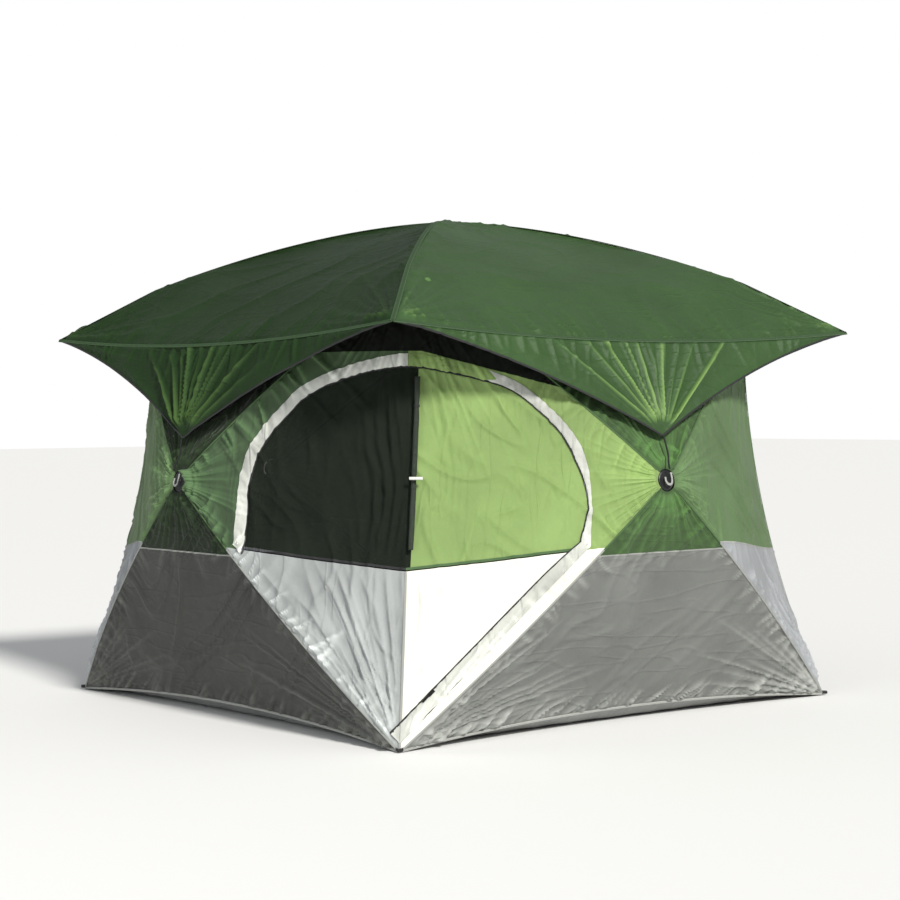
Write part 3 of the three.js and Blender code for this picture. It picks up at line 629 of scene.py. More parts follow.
def tension(patch, s, t, reach, seed, ruffle):
    """How far wrinkles lift the fabric, with the slack between them and without it."""
    width = np.linalg.norm(patch.b - patch.a)
    slope = np.linalg.norm(patch.a - patch.hub)
    along, foot = s * reach[None, :], (1 - s) * slope
    from_left, from_right = t * width * s * 0.85, (1 - t) * width * s * 0.85
    to_a, to_b = np.hypot(foot, from_left), np.hypot(foot, from_right)
    angle_a, angle_b = np.arctan2(from_left, foot + 1e-4), np.arctan2(from_right, foot + 1e-4)
    hub_angle = (t - 0.5) * 1.4
    lift = fan(along, hub_angle, (-0.7, 0.7), 17, seed, **HUB_FOLDS)
    lift += fan(to_a, angle_a, (0.05, 1.45), 11, seed + 1, **CORNER_FOLDS)
    lift += fan(to_b, angle_b, (0.05, 1.45), 11, seed + 2, **CORNER_FOLDS)
    for away, k in ((from_left, 3), (from_right, 4)):
        lift += puckers(along, away, slope, 0.050, seed + k, height=0.014 * ruffle, **SEAM_PUCKERS)
    across = t * width * s
    if patch.name.endswith("lower"):
        lift += puckers(across, foot, width, 0.036, seed + 5, **HEM_PUCKERS)
    slack = 0.012 * gradient_noise(across * 2.1 + 5, along * 2.1, seed + 6)
    drift = 2 * gradient_noise(across * 2, along * 2, seed + 7)
    slack += 0.010 * (creases(across * 4.6 + drift, along * 3.1, seed + 8, 3.4) - 0.25)
    hem = smooth(np.minimum(from_left, from_right), 0, 0.022) * smooth(foot, 0.008, 0.04)
    hem = hem * smooth(along, HUB_HOLE, HUB_HOLE + 0.02)
    return (lift + slack) * hem, lift * hem


def wrinkled(patch, rows, columns, seed, ruffle=1.0, extra=None, calm=None):
    """A patch of cloth with its wrinkles; the field flat keeps where each point was before them."""
    s, t, reach = patch.grid(rows, columns)
    flat = patch.at(s, t).reshape(-1, 3)
    faces = grid_faces(rows, columns)
    lift, crest = (values.ravel() for values in tension(patch, s, t, reach, seed, ruffle))
    if extra is not None:
        lift = lift + extra(flat)
    if calm is not None:
        lift, crest = lift * calm(flat), crest * calm(flat)
    faces, normals = facing(flat, faces, patch.hub * vec(1, 1, 0) + vec(0, 0, 1e-3))
    points = flat + normals * np.maximum(lift, -0.010)[:, None]
    return Cloth(points, faces, patch.weave(flat), flat=flat, normal=normals_of(points, faces), crest=crest)


def add_wall_panel(turn, part, seed, replaced=()):
    patch = wall_patch(turn, part)
    hub = f"hub_{SIDES[turn % 4]}"
    cloth = wrinkled(patch, 110, 160, seed)
    cloth.fields["zone"] = cloth.points[:, 2] - seam_height(part, cloth.points)
    material = "wall_fabric" if part in ("lower", "upper") else "corner_fabric"
    # Painted shade: the south wall's triangles take the darkened copy of the wall fabric.
    if turn == 3 and material == "wall_fabric":
        material = "wall_fabric_painted_shade"
    panel = cloth.piece(f"{patch.name}_panel", material)
    settle(panel, "tent_body", "green_fabric", replaced, hub, *patch.blend_line())
    declare(cloth)
    if part != "upper":
        overlap = cloth.cut(lambda f: f["zone"] + 0.003).cut(lambda f: 0.003 - f["zone"]).raised(0.0012)
        tape = overlap.piece(f"{patch.name}_seam", "light_tape")
        settle(tape, "tent_body", "green_fabric", (), hub, *patch.blend_line())


for turn, side in enumerate(SIDES):
    for k, part in enumerate(("lower", "right", "upper", "left")):
        if (side, part) in (("east", "left"), ("south", "right")):
            continue
        add_wall_panel(turn, part, 11 + 20 * turn + 3 * k, [f"wall_{side}"] if part == "lower" else ())


# ---------------------------------------------------------------- the door corner

ARCH = [(0.700, 0.745), (0.705, 0.900), (0.690, 1.060), (0.640, 1.180), (0.550, 1.285), (0.430, 1.385),
        (0.270, 1.452), (0.110, 1.492)]
CROWN_Z, DOOR_FOOT_Z, SEWN_TOP = 1.505, 0.030, (-0.718, 0.748)
BAND_WIDTH = 0.052
BAND_START = 0.31         # right of the crease the band is turned under its lining up to here
# Above VENT_Z across the crown is a dark vent; right of the crease the line falls along the flap's shadow, so
# the dark sheet there is painted shadow.
VENT_Z, VENT_SHADOW_FALL = 1.515, 0.27
TIE_HEIGHTS = (1.02, 1.30)
WALL_FALL = 0.145         # how far the wall falls back from the crease, for each metre across


def spline(points, count):
    """A smooth curve through points, by Catmull-Rom."""
    points = np.asarray(points, float)
    ends = np.concatenate([[2 * points[0] - points[1]], points, [2 * points[-1] - points[-2]]])
    stations = np.linspace(0, len(points) - 1, count)
    k = np.minimum(stations.astype(int), len(points) - 2)
    f = (stations - k)[:, None]
    a, b, c, d = (ends[k + i] for i in range(4))
    return 0.5 * (2 * b + (c - a) * f + (2 * a - 5 * b + 4 * c - d) * f**2 + (3 * b - a - 3 * c + d) * f**3)


def arch_line():
    """The zipped edge, seen square on to the corner: from the foot and over the arch to its sewn end."""
    left = [(-x, z) for x, z in ARCH[1:]][::-1]
    curve = spline(ARCH + [(0.0, CROWN_Z)] + left + [SEWN_TOP], 90)
    foot = np.linspace(0, 1, 12)[:, None][:-1]
    straight = vec(0.0, DOOR_FOOT_Z) + foot * (curve[0] - vec(0.0, DOOR_FOOT_Z))
    return np.concatenate([straight, curve])


ZIP_LINE = arch_line()
OPENING = np.concatenate([ZIP_LINE, [[-0.004, DOOR_FOOT_Z + 0.004]]])


def distance_to(points, ring, closed):
    count = len(ring) if closed else len(ring) - 1
    best = np.full(len(points), 1e9)
    for k in range(count):
        a, b = ring[k], ring[(k + 1) % len(ring)]
        share = np.clip(((points - a) @ (b - a)) / np.dot(b - a, b - a), 0, 1)
        best = np.minimum(best, np.linalg.norm(points - a - share[:, None] * (b - a), axis=1))
    return best


def within(points, ring):
    odd = np.zeros(len(points), bool)
    for k in range(len(ring)):
        a, b = ring[k], ring[(k + 1) % len(ring)]
        crosses = (a[1] > points[:, 1]) != (b[1] > points[:, 1])
        where = a[0] + (points[:, 1] - a[1]) * (b[0] - a[0]) / (b[1] - a[1] + 1e-12)
        odd ^= crosses & (points[:, 0] < where)
    return odd


def window_edge(z):
    low, high = WINDOW_EDGE_Z
    return WINDOW_EDGE[0] + (WINDOW_EDGE[1] - WINDOW_EDGE[0]) * (z - low) / (high - low)


def door_folds(points):
    """Upright folds in the window, small upright creases in the panel, and drag lines to the door's foot."""
    x, z = points @ ACROSS, points[:, 2]
    window = smooth(-x, 0.005, 0.03) * smooth(z, 0.70, 0.80) * smooth(1.46 - z, 0, 0.1)
    wander = gradient_noise(x * 4, z * 2.5, 91)
    folds = 0.008 * window * np.exp(-((x + 0.09) / 0.08) ** 2) * np.sin(x * 150 + 7 * wander)
    folds += 0.009 * window * (creases(x * 8 + 0.6 * z, z * 1.4, 93) - 0.3)
    panel = smooth(x, 0.06, 0.09) * smooth(z, 0.80, 0.95) * smooth(1.42 - z, 0, 0.12)
    bunched = np.exp(-((x - 0.14) / 0.06) ** 2) + np.exp(-((x - 0.56) / 0.09) ** 2)
    folds -= 0.008 * panel * bunched * creases(x * 24, z * 6.5, 94, 2.8)
    low = smooth(0.70 - z, 0, 0.12) * smooth(z, 0.05, 0.3)
    drag = 0.013 * low * (creases(np.arctan2(x, z + 0.03) * 9, z * 1.8, 92) - 0.3)
    return (folds + drag * np.where(x < 0, 1.3, 0.45)) * smooth(np.abs(x), 0.0, 0.02)


def band_width(x, z):
    """The storm band turns nearly edge on round the opening's widest point on the right."""
    turned_in = 0.76 * np.exp(-((z - 0.92) / 0.15) ** 2) + 0.25 * smooth(z, 1.05, 1.2)
    return BAND_WIDTH * (1 - turned_in * smooth(x, 0.15, 0.40) - 0.12 * smooth(-x, 0, 0.2))


def beside_zip(flat):
    """How freely the cloth wrinkles: hardly, along the inner edge of the storm band's lower half."""
    x, z = flat @ ACROSS, flat[:, 2]
    off_zip = distance_to(np.stack([x, z], axis=1), ZIP_LINE, False) - BAND_WIDTH
    return 1 - 0.92 * np.exp(-(off_zip / 0.03) ** 2) * smooth(0.75 - z, 0, 0.1) * smooth(x, 0.0, 0.02)


def door_cloth(turn, part, seed):
    """One half of the door corner, with the fields that its pieces are cut by."""
    ruffle = 2.0 if turn == 3 else 1.4
    cloth = wrinkled(wall_patch(turn, part), 150, 220, seed, ruffle, door_folds, beside_zip)
    flat = cloth.fields["flat"]
    x, z = flat @ ACROSS, flat[:, 2]
    view = np.stack([x, z], axis=1)
    edge = distance_to(view, OPENING, True)
    seam = SEAM_MIDDLE_Z + (SEAM_SIDE_Z + 0.02 - SEAM_MIDDLE_Z) * np.minimum(np.abs(x) / 0.9, 1)
    # Above this line is the dark vent netting: level on the left, falling on the right along the flap's
    # shadow as painted shadow.
    vent = z - (VENT_Z - VENT_SHADOW_FALL * np.maximum(x - 0.05, 0))
    cloth.fields.update(x=x, z=z, zone=z - seam, vent=vent, band=band_width(x, z),
                        zip=distance_to(view, ZIP_LINE, False),
                        opening=np.where(within(view, OPENING), edge, -edge))
    return cloth


def band_crown(f):
    """The storm band stands proud in the middle, with small crushed folds."""
    middle = 1 - (2 * np.clip(f["zip"] / f["band"], 0, 1) - 1) ** 2
    crushed = 0.0022 * gradient_noise(f["x"] * 38 + f["z"] * 20, f["z"] * 38 - f["x"] * 20, 95)
    return 0.003 + (0.0045 + crushed) * np.sqrt(np.clip(middle, 0, 1))


def add_door_pieces(turn, part, seed, half):
    """The pieces of one half of the door corner, all cut from one wrinkled surface."""
    patch, hub = wall_patch(turn, part), f"hub_{SIDES[turn % 4]}"
    whole, left = door_cloth(turn, part, seed), half == "left"

    def place(cloth, name, material, slot, body=None, stands_for=(), narrow=False):
        made = cloth.piece(f"{name}_{half}", material)
        if body:
            settle(made, body, slot, stands_for)
        else:
            settle(made, "tent_body", slot, stands_for, hub, *patch.blend_line())
        if not narrow:
            declare(cloth)

    # Painted shade on the left half, painted sunlight on the right half.
    tone = "corner_fabric_painted_shade" if left else "corner_fabric_painted_sunlit"
    outside = whole.cut(lambda f: -f["opening"])
    place(outside.cut(lambda f: -f["vent"]), "corner_strip", tone, "green_fabric")
    # The dark sheet above the vent line: a vent on the left, painted shadow of the flap on the right.
    place(outside.cut(lambda f: f["vent"]).raised(-0.001), "vent_and_shadow_mesh", "vent_and_shadow_mesh", "mesh_fabric")
    inside = whole.cut(lambda f: f["opening"])
    band = inside.cut(lambda f: f["band"] - f["zip"])
    past_start = band.fields["x"] - BAND_START - 1.2 * band.fields["zip"]
    shown = np.maximum(past_start, 1.40 - band.fields["z"])
    band.fields["zone"] = np.ones(len(band.points)) if left else shown
    place(band.raised(band_crown(band.fields)), "storm_band", "band_fabric", "band_fabric",
          stands_for=["zip_band"] if left else ())
    leaf = inside.cut(lambda f: f["zip"] - f["band"] + 0.006)
    zipper = leaf.cut(lambda f: f["band"] + 0.004 - f["zip"]).raised(0.0045)
    place(zipper, "zip_tape", "black_webbing", "black_webbing", narrow=True)
    # Painted shade on the left half, painted sunlight on the right half.
    tone = "lower_door_painted_shade" if left else "lower_door_painted_sunlit"
    place(leaf.cut(lambda f: -f["zone"]), "lower_door", tone, "grey_fabric",
          stands_for=["door_lower_panel"] if left else ())
    upper = leaf.cut(lambda f: f["zone"] - 0.004)
    place(upper.cut(lambda f: window_edge(f["z"]) - f["x"]), "mesh_window", "mesh_fabric", "mesh_fabric",
          "door", ["door_mesh_window"] if left else ())
    if not left:
        in_panel = upper.cut(lambda f: f["x"] - window_edge(f["z"])).raised(0.0006)
        place(in_panel, "upper_door_panel", "door_fabric", "light_fabric", "door", ["door_upper_panel"])
    hem = upper.cut(lambda f: 0.014 - f["zone"]).raised(0.002)
    place(hem, "leaf_hem", "black_webbing" if left else "seam_tape", "light_fabric", "door", narrow=True)


add_door_pieces(3, "right", 301, "left")
add_door_pieces(0, "left", 317, "right")


def roll_point(z):
    """The rolled cover's axis: over the window's edge, clear of the fabric beside the crease."""
    across = window_edge(z)
    crease = wall_patch(0, "left").at(1.0, 1 - z / TOP_Z)
    return crease + ACROSS * across + DIAGONAL * (ROLL_CLEAR - WALL_FALL * across)


def add_window_cover():
    """The window's cover, rolled up tight along the edge, with its spiral end and two ties."""
    heights, sides = np.linspace(0.745, 1.415, 60), 22
    turns = np.linspace(0, 2 * math.pi, sides, endpoint=False)
    round_axis = np.outer(np.cos(turns), ACROSS) + np.outer(np.sin(turns), DIAGONAL)
    rings = []
    for z in heights:
        low_tie, high_tie = (math.exp(-(((z - tie_z) / 0.02) ** 2)) for tie_z in TIE_HEIGHTS)
        waves = 0.0016 * gradient_noise(turns * 2 + 3, np.full(sides, z * 14), 96)
        spiral_end = 0.0022 * np.exp(-(((turns - 2.2) / 0.22) ** 2))
        radius = ROLL_TIGHT * (1 - 0.22 * low_tie - 0.18 * high_tie) + waves + spiral_end
        rings.append(roll_point(z) + radius[:, None] * round_axis)
    weave = np.array([[a * ROLL_R, z] for z in heights for a in turns])
    roll = make_mesh("window_cover", np.concatenate(rings), capped_faces(len(heights), sides),
                     "cover_fabric", weave)
    settle(roll, "door", "fly_fabric", ["window_cover_roll"])
    for z in TIE_HEIGHTS:
        angle = np.linspace(0, 2 * math.pi, 25)
        radial = np.outer(np.cos(angle), ACROSS) + np.outer(np.sin(angle), DIAGONAL)
        tie = ribbon(f"cover_tie_{int(z * 100)}", roll_point(z) + radial * (ROLL_R * 0.62), radial, 0.012,
                     0.002, "black_webbing", np.broadcast_to(vec(0, 0, 1), radial.shape))
        settle(tie, "door", "black_webbing")


add_window_cover()

# ---------------------------------------------------------------- flysheet

def fly_height(r):
    corner = TOP_Z + 0.018
    dome = FLY_TOP_Z - (FLY_TOP_Z - corner) * (np.minimum(r, TOP_HALF) / TOP_HALF) ** 1.7
    beyond = (corner - FLY_TIP_Z) * (r - TOP_HALF) / (FLY_TIP - TOP_HALF)
    return np.where(r <= TOP_HALF, dome, corner - beyond)


def fly_point(r, t):
    middle = 4 * t * (1 - t) * (r / FLY_TIP)
    return np.stack([r - 0.010 * middle, r * (2 * t - 1), fly_height(r) - FLY_SAG * middle], axis=-1)


def flap_edge(t):
    along = np.where(t < 0.5, 2 * t, 2 - 2 * t)[..., None]
    tip = fly_point(np.full(t.shape, FLY_TIP), np.where(t < 0.5, 0.0, 1.0))
    line = tip * (1 - along) + vec(FLAP_OUT, 0, FLAP_Z) * along
    return line + vec(-0.020, 0, 0.050) * 4 * along * (1 - along)


def fly_material(turn):
    # Painted shade: the south and west gores and flaps take the darkened copy of the fly fabric.
    return "fly_fabric_painted_shade" if SIDES[turn] in ("south", "west") else "fly_fabric"


def sink_line(rim, turn):
    """A line for a roof piece from the rim to a little past the middle, handed to settle, which does not use
    it.
    """
    rim, centre = turned(rim, turn), vec(0, 0, rim[2])
    return rim, centre - (rim - centre) * SINK_PAST


def gore_wrinkles(r, t, y, seed):
    """The lift of folds from the tips and the apex and of puckers at the hems, and its crests."""
    from_seam, eave = np.minimum(t, 1 - t) * 2 * r, FLY_TIP - r
    lift = np.zeros(len(y))
    for sign in (-1, 1):
        to_tip = np.hypot(eave, FLY_TIP + sign * y)
        angle = np.arctan2(FLY_TIP + sign * y, eave + 1e-4)
        lift += fan(to_tip, angle, (0.8, 1.6), 10, seed + 10 + sign, **FLY_TIP_FOLDS)
    lift += fan(r, np.arctan2(y, r + 1e-3), (-0.8, 0.8), 9, seed + 1, **FLY_APEX_FOLDS)
    lift += puckers(y + FLY_TIP, eave, 2 * FLY_TIP, 0.070, seed + 2, **EAVE_PUCKERS)
    lift += puckers(r * 1.4, from_seam, 1.4 * FLY_TIP, 0.08, seed + 3, **FLY_SEAM_PUCKERS)
    slack = 0.016 * gradient_noise(y * 1.5, r * 1.7, seed + 4)
    slack += 0.007 * (creases(y * 2.4 + r, r * 3.2, seed + 5, 3.2) - 0.25)
    hem = smooth(from_seam, 0, 0.03) * smooth(eave, 0, 0.02)
    return (lift + slack) * hem, 0.6 * lift * hem


def add_fly_gore(turn, seed):
    """A quarter of the flysheet's roof, from the apex to the eave."""
    rows, columns = 130, 280
    r = np.linspace(0.004, FLY_TIP, rows)[:, None] * np.ones((1, columns))
    t = np.broadcast_to(np.linspace(0, 1, columns), r.shape)
    flat = fly_point(r, t).reshape(-1, 3)
    r, t, y = r.ravel(), t.ravel(), flat[:, 1]
    lift, crest = gore_wrinkles(r, t, y, seed)
    faces, normals = facing(flat, grid_faces(rows, columns), vec(0, 0, 1))
    points = turned(flat + normals * lift[:, None], turn)
    cloth = Cloth(points, faces, np.stack([y, r * 1.03], axis=1), crest=crest)
    gore = cloth.piece(f"fly_gore_{SIDES[turn]}", fly_material(turn))
    settle(gore, "tent_body", "fly_fabric", ["flysheet"] if turn == 0 else (), "hub_roof",
           *sink_line(vec(TOP_HALF, 0, FLY_TOP_Z), turn))
    declare(cloth)


def flap_wrinkles(points, down, seed, slack):
    """Sharp folds from the tied point and the tips, and puckers under the eave."""
    y, z = points[:, 1], points[:, 2]
    distance = np.hypot(y, z - FLAP_Z)
    angle = np.arctan2(y, z - FLAP_Z + 1e-4)
    lift = fan(distance, angle, (-1.25, 1.25), 12, seed, 0.026 + 0.5 * slack, 0.85, 0.012)
    crest = lift.copy()
    for sign in (-1, 1):
        across, drop = FLY_TIP + sign * y, FLY_TIP_Z - z
        to_tip = np.hypot(across, drop)
        angle = np.arctan2(drop, across + 1e-4)
        lift += fan(to_tip, angle, (0.05, 0.45), 6, seed + 5 + sign, **FLAP_TIP_FOLDS)
    lift += puckers(y + FLY_TIP, down, 2 * FLY_TIP, 0.060, seed + 8, **FLAP_PUCKERS)
    loose = slack * gradient_noise(y * 2.6, z * 2.6, seed + 1)
    loose += 0.35 * slack * (creases(y * 4 + z, z * 4, seed + 9) - 0.2)
    return lift + loose, 0.3 * lift + 0.7 * crest


def add_flap(turn, seed):
    """The part of the flysheet that hangs below the eave to its tied point, and its bound edge."""
    rows, columns = 76, 360
    slack = 0.016 if SIDES[turn] == "south" else 0.009
    share = np.linspace(0, 1, rows)[:, None] * np.ones((1, columns))
    t = np.broadcast_to(np.linspace(0.002, 0.998, columns), share.shape)
    eave, low = fly_point(np.full(t.shape, FLY_TIP), t), flap_edge(t)
    flat = (eave * (1 - share[..., None]) + low * share[..., None]).reshape(-1, 3)
    height = np.linalg.norm((low - eave), axis=2).ravel()
    down = share.ravel() * height
    faces = grid_faces(rows, columns)
    hem = smooth(down, 0, 0.02) * (0.25 + 0.75 * smooth(height - down, 0, 0.04))
    lift, crest = (values * hem for values in flap_wrinkles(flat, down, seed, slack))
    faces, normals = facing(flat, faces, vec(1, 0, 0))
    points = turned(flat + normals * lift[:, None], turn)
    cloth = Cloth(points, faces, flat[:, 1:] * vec(1, 1.04), crest=crest)
    flap = cloth.piece(f"fly_flap_{SIDES[turn]}", fly_material(turn))
    eave_foot = turned(vec(FLAP_OUT, 0, FLY_TIP_Z - 0.06), turn)
    point = turned(vec(FLAP_OUT, 0, FLAP_Z - 0.10), turn)
    hub = f"hub_{SIDES[turn]}"
    settle(flap, "tent_body", "fly_fabric", (), hub, eave_foot, point)
    declare(cloth)
    edge = points.reshape(rows, columns, 3)[-1]
    out = np.broadcast_to(turned(vec(1, 0, 0), turn), edge.shape)
    binding = ribbon(f"flap_binding_{SIDES[turn]}", edge - 0.002 * out, out, 0.008, 0.004, "black_webbing")
    settle(binding, "tent_body", "black_webbing", (), hub, eave_foot, point)


for turn in range(4):
    add_fly_gore(turn, 401 + 17 * turn)
    add_flap(turn, 501 + 13 * turn)

# ---------------------------------------------------------------- seams and trim

def fly_tapes():
    for turn, corner in enumerate(CORNERS):
        r = np.linspace(0.0, FLY_TIP, 60)
        line = np.stack([r, -r, fly_height(r) + 0.001], axis=1)
        upward = np.stack([np.gradient(-line[:, 2], line[:, 0] * math.sqrt(2))] * 2 + [np.ones(60)], axis=1)
        upward[:, 0] *= DIAGONAL[0]
        upward[:, 1] *= DIAGONAL[1]
        upward /= np.linalg.norm(upward, axis=1, keepdims=True)
        tape = ribbon(f"fly_seam_{corner}", turned(line, turn), turned(upward, turn), 0.022, 0.003,
                      "fly_tape")
        settle(tape, "tent_body", "fly_fabric", (), "hub_roof",
               *sink_line(vec(TOP_HALF, -TOP_HALF, FLY_TOP_Z), turn))
    for turn, side in enumerate(SIDES):
        t = np.linspace(0, 1, 61)
        line = fly_point(np.full(61, FLY_TIP), t)
        out = np.broadcast_to(vec(0.8, 0, 0.6), line.shape)
        tape = ribbon(f"eave_seam_{side}", turned(line + out * 0.0005, turn), turned(out, turn), 0.016,
                      0.003, "fly_tape")
        settle(tape, "tent_body", "fly_fabric")


def add_pole_seam(turn, part, end):
    """The folded seam along one pole, on the outside of the wall."""
    name, patch = f"pole_seam_{SIDES[turn]}_{part}_{'ab'[end]}", wall_patch(turn, part)
    line = patch.at(np.linspace(0.05, 0.995, 60), np.full(60, end))
    out = np.broadcast_to(turned(OUT, turn), line.shape)
    split = int(np.argmax(line[:, 2] < SEAM_SIDE_Z)) if part == "lower" else len(line)
    runs = [(line[:split + 1], "seam_tape", "high")]
    if part == "lower":
        runs.append((line[split:], "light_tape", "low"))
    for run, material, level in runs:
        tape = ribbon(f"{name}_{level}", run, out[: len(run)], 0.007, 0.0035, material)
        settle(tape, "tent_body", "green_fabric", (), f"hub_{SIDES[turn]}", *patch.blend_line())


def corner_seams():
    """The seam down each corner where two walls meet, except above the door's foot."""
    for turn, corner in enumerate(CORNERS):
        patch = wall_patch(turn, "left")
        t = np.linspace(0.0, 0.995, 90)
        line = patch.at(np.ones(90), t)
        out = np.broadcast_to(turned(DIAGONAL, turn), line.shape)
        z = line[:, 2]
        runs = [((z < SEAM_MIDDLE_Z), "light_tape", "low")]
        if corner != "southeast":
            runs.append((z > SEAM_MIDDLE_Z - 0.02, "seam_tape", "high"))
        for keep, material, level in runs:
            tape = ribbon(f"corner_seam_{corner}_{level}", line[keep] + 0.001 * out[keep], out[keep], 0.010,
                          0.003, material)
            settle(tape, "tent_body", "green_fabric")


def hem_tapes():
    """The webbing hem along the foot of each wall, and the peg loops at its corners."""
    for turn, side in enumerate(SIDES):
        patch = wall_patch(turn, "lower")
        t = np.linspace(0.004, 0.996, 90)
        line = patch.at(np.full(90, 0.998), t) + vec(0, 0, 0.003)
        out = np.broadcast_to(turned(vec(1, 0, 0), turn), line.shape)
        upright = np.broadcast_to(vec(0, 0, 1), line.shape)
        tape = ribbon(f"hem_{side}", line + 0.003 * out, out, 0.010, 0.004, "grey_webbing", upright)
        settle(tape, "tent_body", "grey_fabric")
    for turn, corner in enumerate(CORNERS):
        angle = np.linspace(-0.5, math.pi + 0.5, 24)
        base = DIAGONAL * (BASE_HALF * math.sqrt(2) - 0.012) + vec(0, 0, 0.006)
        loop = base + np.outer(np.sin(angle) * 0.030, DIAGONAL) + np.outer(np.cos(angle) * 0.014, ACROSS)
        upward = np.broadcast_to(vec(0, 0, 1), loop.shape)
        strap = ribbon(f"peg_loop_{corner}", turned(loop, turn), upward, 0.003, 0.012, "black_webbing")
        settle(strap, "tent_body", "black_webbing")


def add_groundsheet():
    """The sewn-in floor: flat on the ground, with a tub edge that rises to the walls' hems."""
    count = 101
    share = np.linspace(-1, 1, count)
    u, v = np.meshgrid(share, share, indexing="ij")
    reach = np.maximum(np.abs(u), np.abs(v))
    along = np.where(np.abs(u) >= np.abs(v), v, u) / np.maximum(reach, 1e-9)
    bow = 1 - along**2
    inward = 1 - (0.018 * bow + 0.006) / BASE_HALF * smooth(reach, 0.5, 1.0)
    rise = (0.054 * bow) * smooth(reach, 0.925, 1.0)
    lift = 0.0035 + rise + 0.004 * np.abs(gradient_noise(u * 7, v * 7, 61)) * smooth(1 - reach, 0, 0.05)
    points = np.stack([u * BASE_HALF * inward, v * BASE_HALF * inward, lift], axis=-1).reshape(-1, 3)
    weave = np.stack([u.ravel(), v.ravel()], axis=1) * BASE_HALF
    cloth = Cloth(points, grid_faces(count, count)[:, ::-1], weave)
    floor = cloth.piece("groundsheet", "floor_fabric")
    settle(floor, "tent_body", "floor_fabric", ["floor"])
    declare(cloth)


def add_inner_roof(turn, seed):
    """A quarter of the inner roof's mesh, slack between its poles."""
    patch = roof_patch(turn)
    s, t, reach = patch.grid(60, 80)
    flat = patch.at(s, t).reshape(-1, 3)
    faces, normals = facing(flat, grid_faces(60, 80), vec(0, 0, 1))
    x, y = (s * reach[None, :]).ravel(), (t * s * 2 * TOP_HALF).ravel()
    sag = 0.006 * gradient_noise(x * 3, y * 3, seed) * smooth(1 - s.ravel(), 0, 0.05)
    cloth = Cloth(flat + normals * (sag - 0.003)[:, None], faces, patch.weave(flat))
    gore = cloth.piece(patch.name, "roof_mesh")
    settle(gore, "tent_body", "mesh_fabric", ["roof_panel"] if turn == 0 else (), "hub_roof",
           *sink_line(vec(TOP_HALF, 0, ROOF_Z), turn))
    declare(cloth)


def add_hub_trim(turn):
    """On the outside of a wall hub: its pull strap, and the flysheet's cord."""
    side, hub = SIDES[turn], f"hub_{SIDES[turn]}"
    face = vec(HUB_OUT, 0, HUB_Z) - OUT * 0.0026
    level = vec(0, 1, 0)
    upward = np.cross(OUT, level)
    strap = np.array([face + level * y + upward * z + OUT * out for y, z, out in [
        (-0.016, 0.012, 0.0065), (-0.017, -0.004, 0.0095), (-0.010, -0.016, 0.012), (0.003, -0.019, 0.0125),
        (0.013, -0.012, 0.0115), (0.017, 0.002, 0.0105), (0.017, 0.020, 0.0085), (0.016, 0.030, 0.0065)]])
    strap = spline(turned(strap, turn), 40)
    pull = ribbon(f"hub_pull_{side}", strap, np.broadcast_to(turned(OUT, turn), strap.shape), 0.009,
                  0.0025, "grey_webbing")
    settle(pull, hub, "grey_fabric")
    route = [(1.399, 0.0, 1.169), (1.407, 0.005, 1.135), (1.415, 0.008, 1.100), (1.428, -0.002, 1.067),
             (1.436, -0.004, 1.041)]
    tie = cord(f"fly_cord_{side}", turned(spline(route, 60), turn), 0.0036, "black_cord")
    settle(tie, hub, "black_cord", [f"fly_tie_{side}"])


def pocket_rays(patch_low, patch_side, roof, foot):
    """The rim of the south-east corner's pocket, at the foot or the crown, as the CAD model has it."""
    size = 0.150

    def mirror(p):
        return vec(-p[1], -p[0], p[2])

    ridge_share = size / np.linalg.norm(patch_low.hub - patch_low.a)
    edge_share = size / np.linalg.norm(patch_side.a - patch_side.b)
    if foot:
        ridge, crease = patch_low.at(1 - ridge_share, 0.0), patch_side.at(1.0, 1 - edge_share)
        base = patch_low.a + vec(0, 0.85 * size, 0)
        return [base, ridge, crease, mirror(ridge), mirror(base)]
    upper = patch_side.at(1 - size / np.linalg.norm(patch_side.hub - patch_side.a), 0.0)
    edge = patch_low.at(1.0, 1 - size / np.linalg.norm(patch_low.a - patch_low.b))
    crease = patch_side.at(1.0, edge_share)
    top = roof.at(1 - size / np.linalg.norm(roof.hub - roof.a), 0.0)
    return [mirror(edge), mirror(upper), crease, upper, edge, top]


def add_pocket(turn, foot):
    """A corner pocket of doubled webbing, open towards the inside, which holds the pole tips."""
    low, side = wall_patch(0, "lower" if foot else "upper"), wall_patch(0, "left")
    apex = low.a if foot else side.a
    shift = vec(-0.010, 0.010, 0.006) if foot else vec(-0.009, 0.009, -0.009)
    rays = np.array(pocket_rays(low, side, roof_patch(0), foot)) - apex
    loop = np.concatenate([rays, rays[:1]])
    each = 8
    rim = np.concatenate([loop[k] + (loop[k + 1] - loop[k]) * np.linspace(0, 1, each, endpoint=False)[:, None]
                          for k in range(len(rays))])
    axis = rays.mean(axis=0) / np.linalg.norm(rays.mean(axis=0))
    rows = np.linspace(0.10, 0.985, 14)
    wave = 0.0012 * np.sin(np.arange(len(rim)) * 2 * math.pi * 5 / len(rim))
    outer = np.array([apex + shift + rim * r + np.outer(wave * r, axis) + axis * 0.0008 for r in rows])
    inner = np.array([apex + shift + rim * r * 0.965 + axis * (0.0035 + 0.002 * r) for r in rows])[::-1]
    points = np.concatenate([outer, inner]).reshape(-1, 3)
    count = len(rim)
    faces = capped_faces(2 * len(rows), count)
    weave = np.array([[k / each, 0.15 * r] for r in list(rows) + list(rows)[::-1] for k in range(count)])
    name = f"{'foot' if foot else 'crown'}_pocket_{CORNERS[turn]}"
    pocket = make_mesh(f"{name}_webbing", turned(points, turn), faces, "black_webbing", weave)
    settle(pocket, "tent_body", "black_webbing", [name])


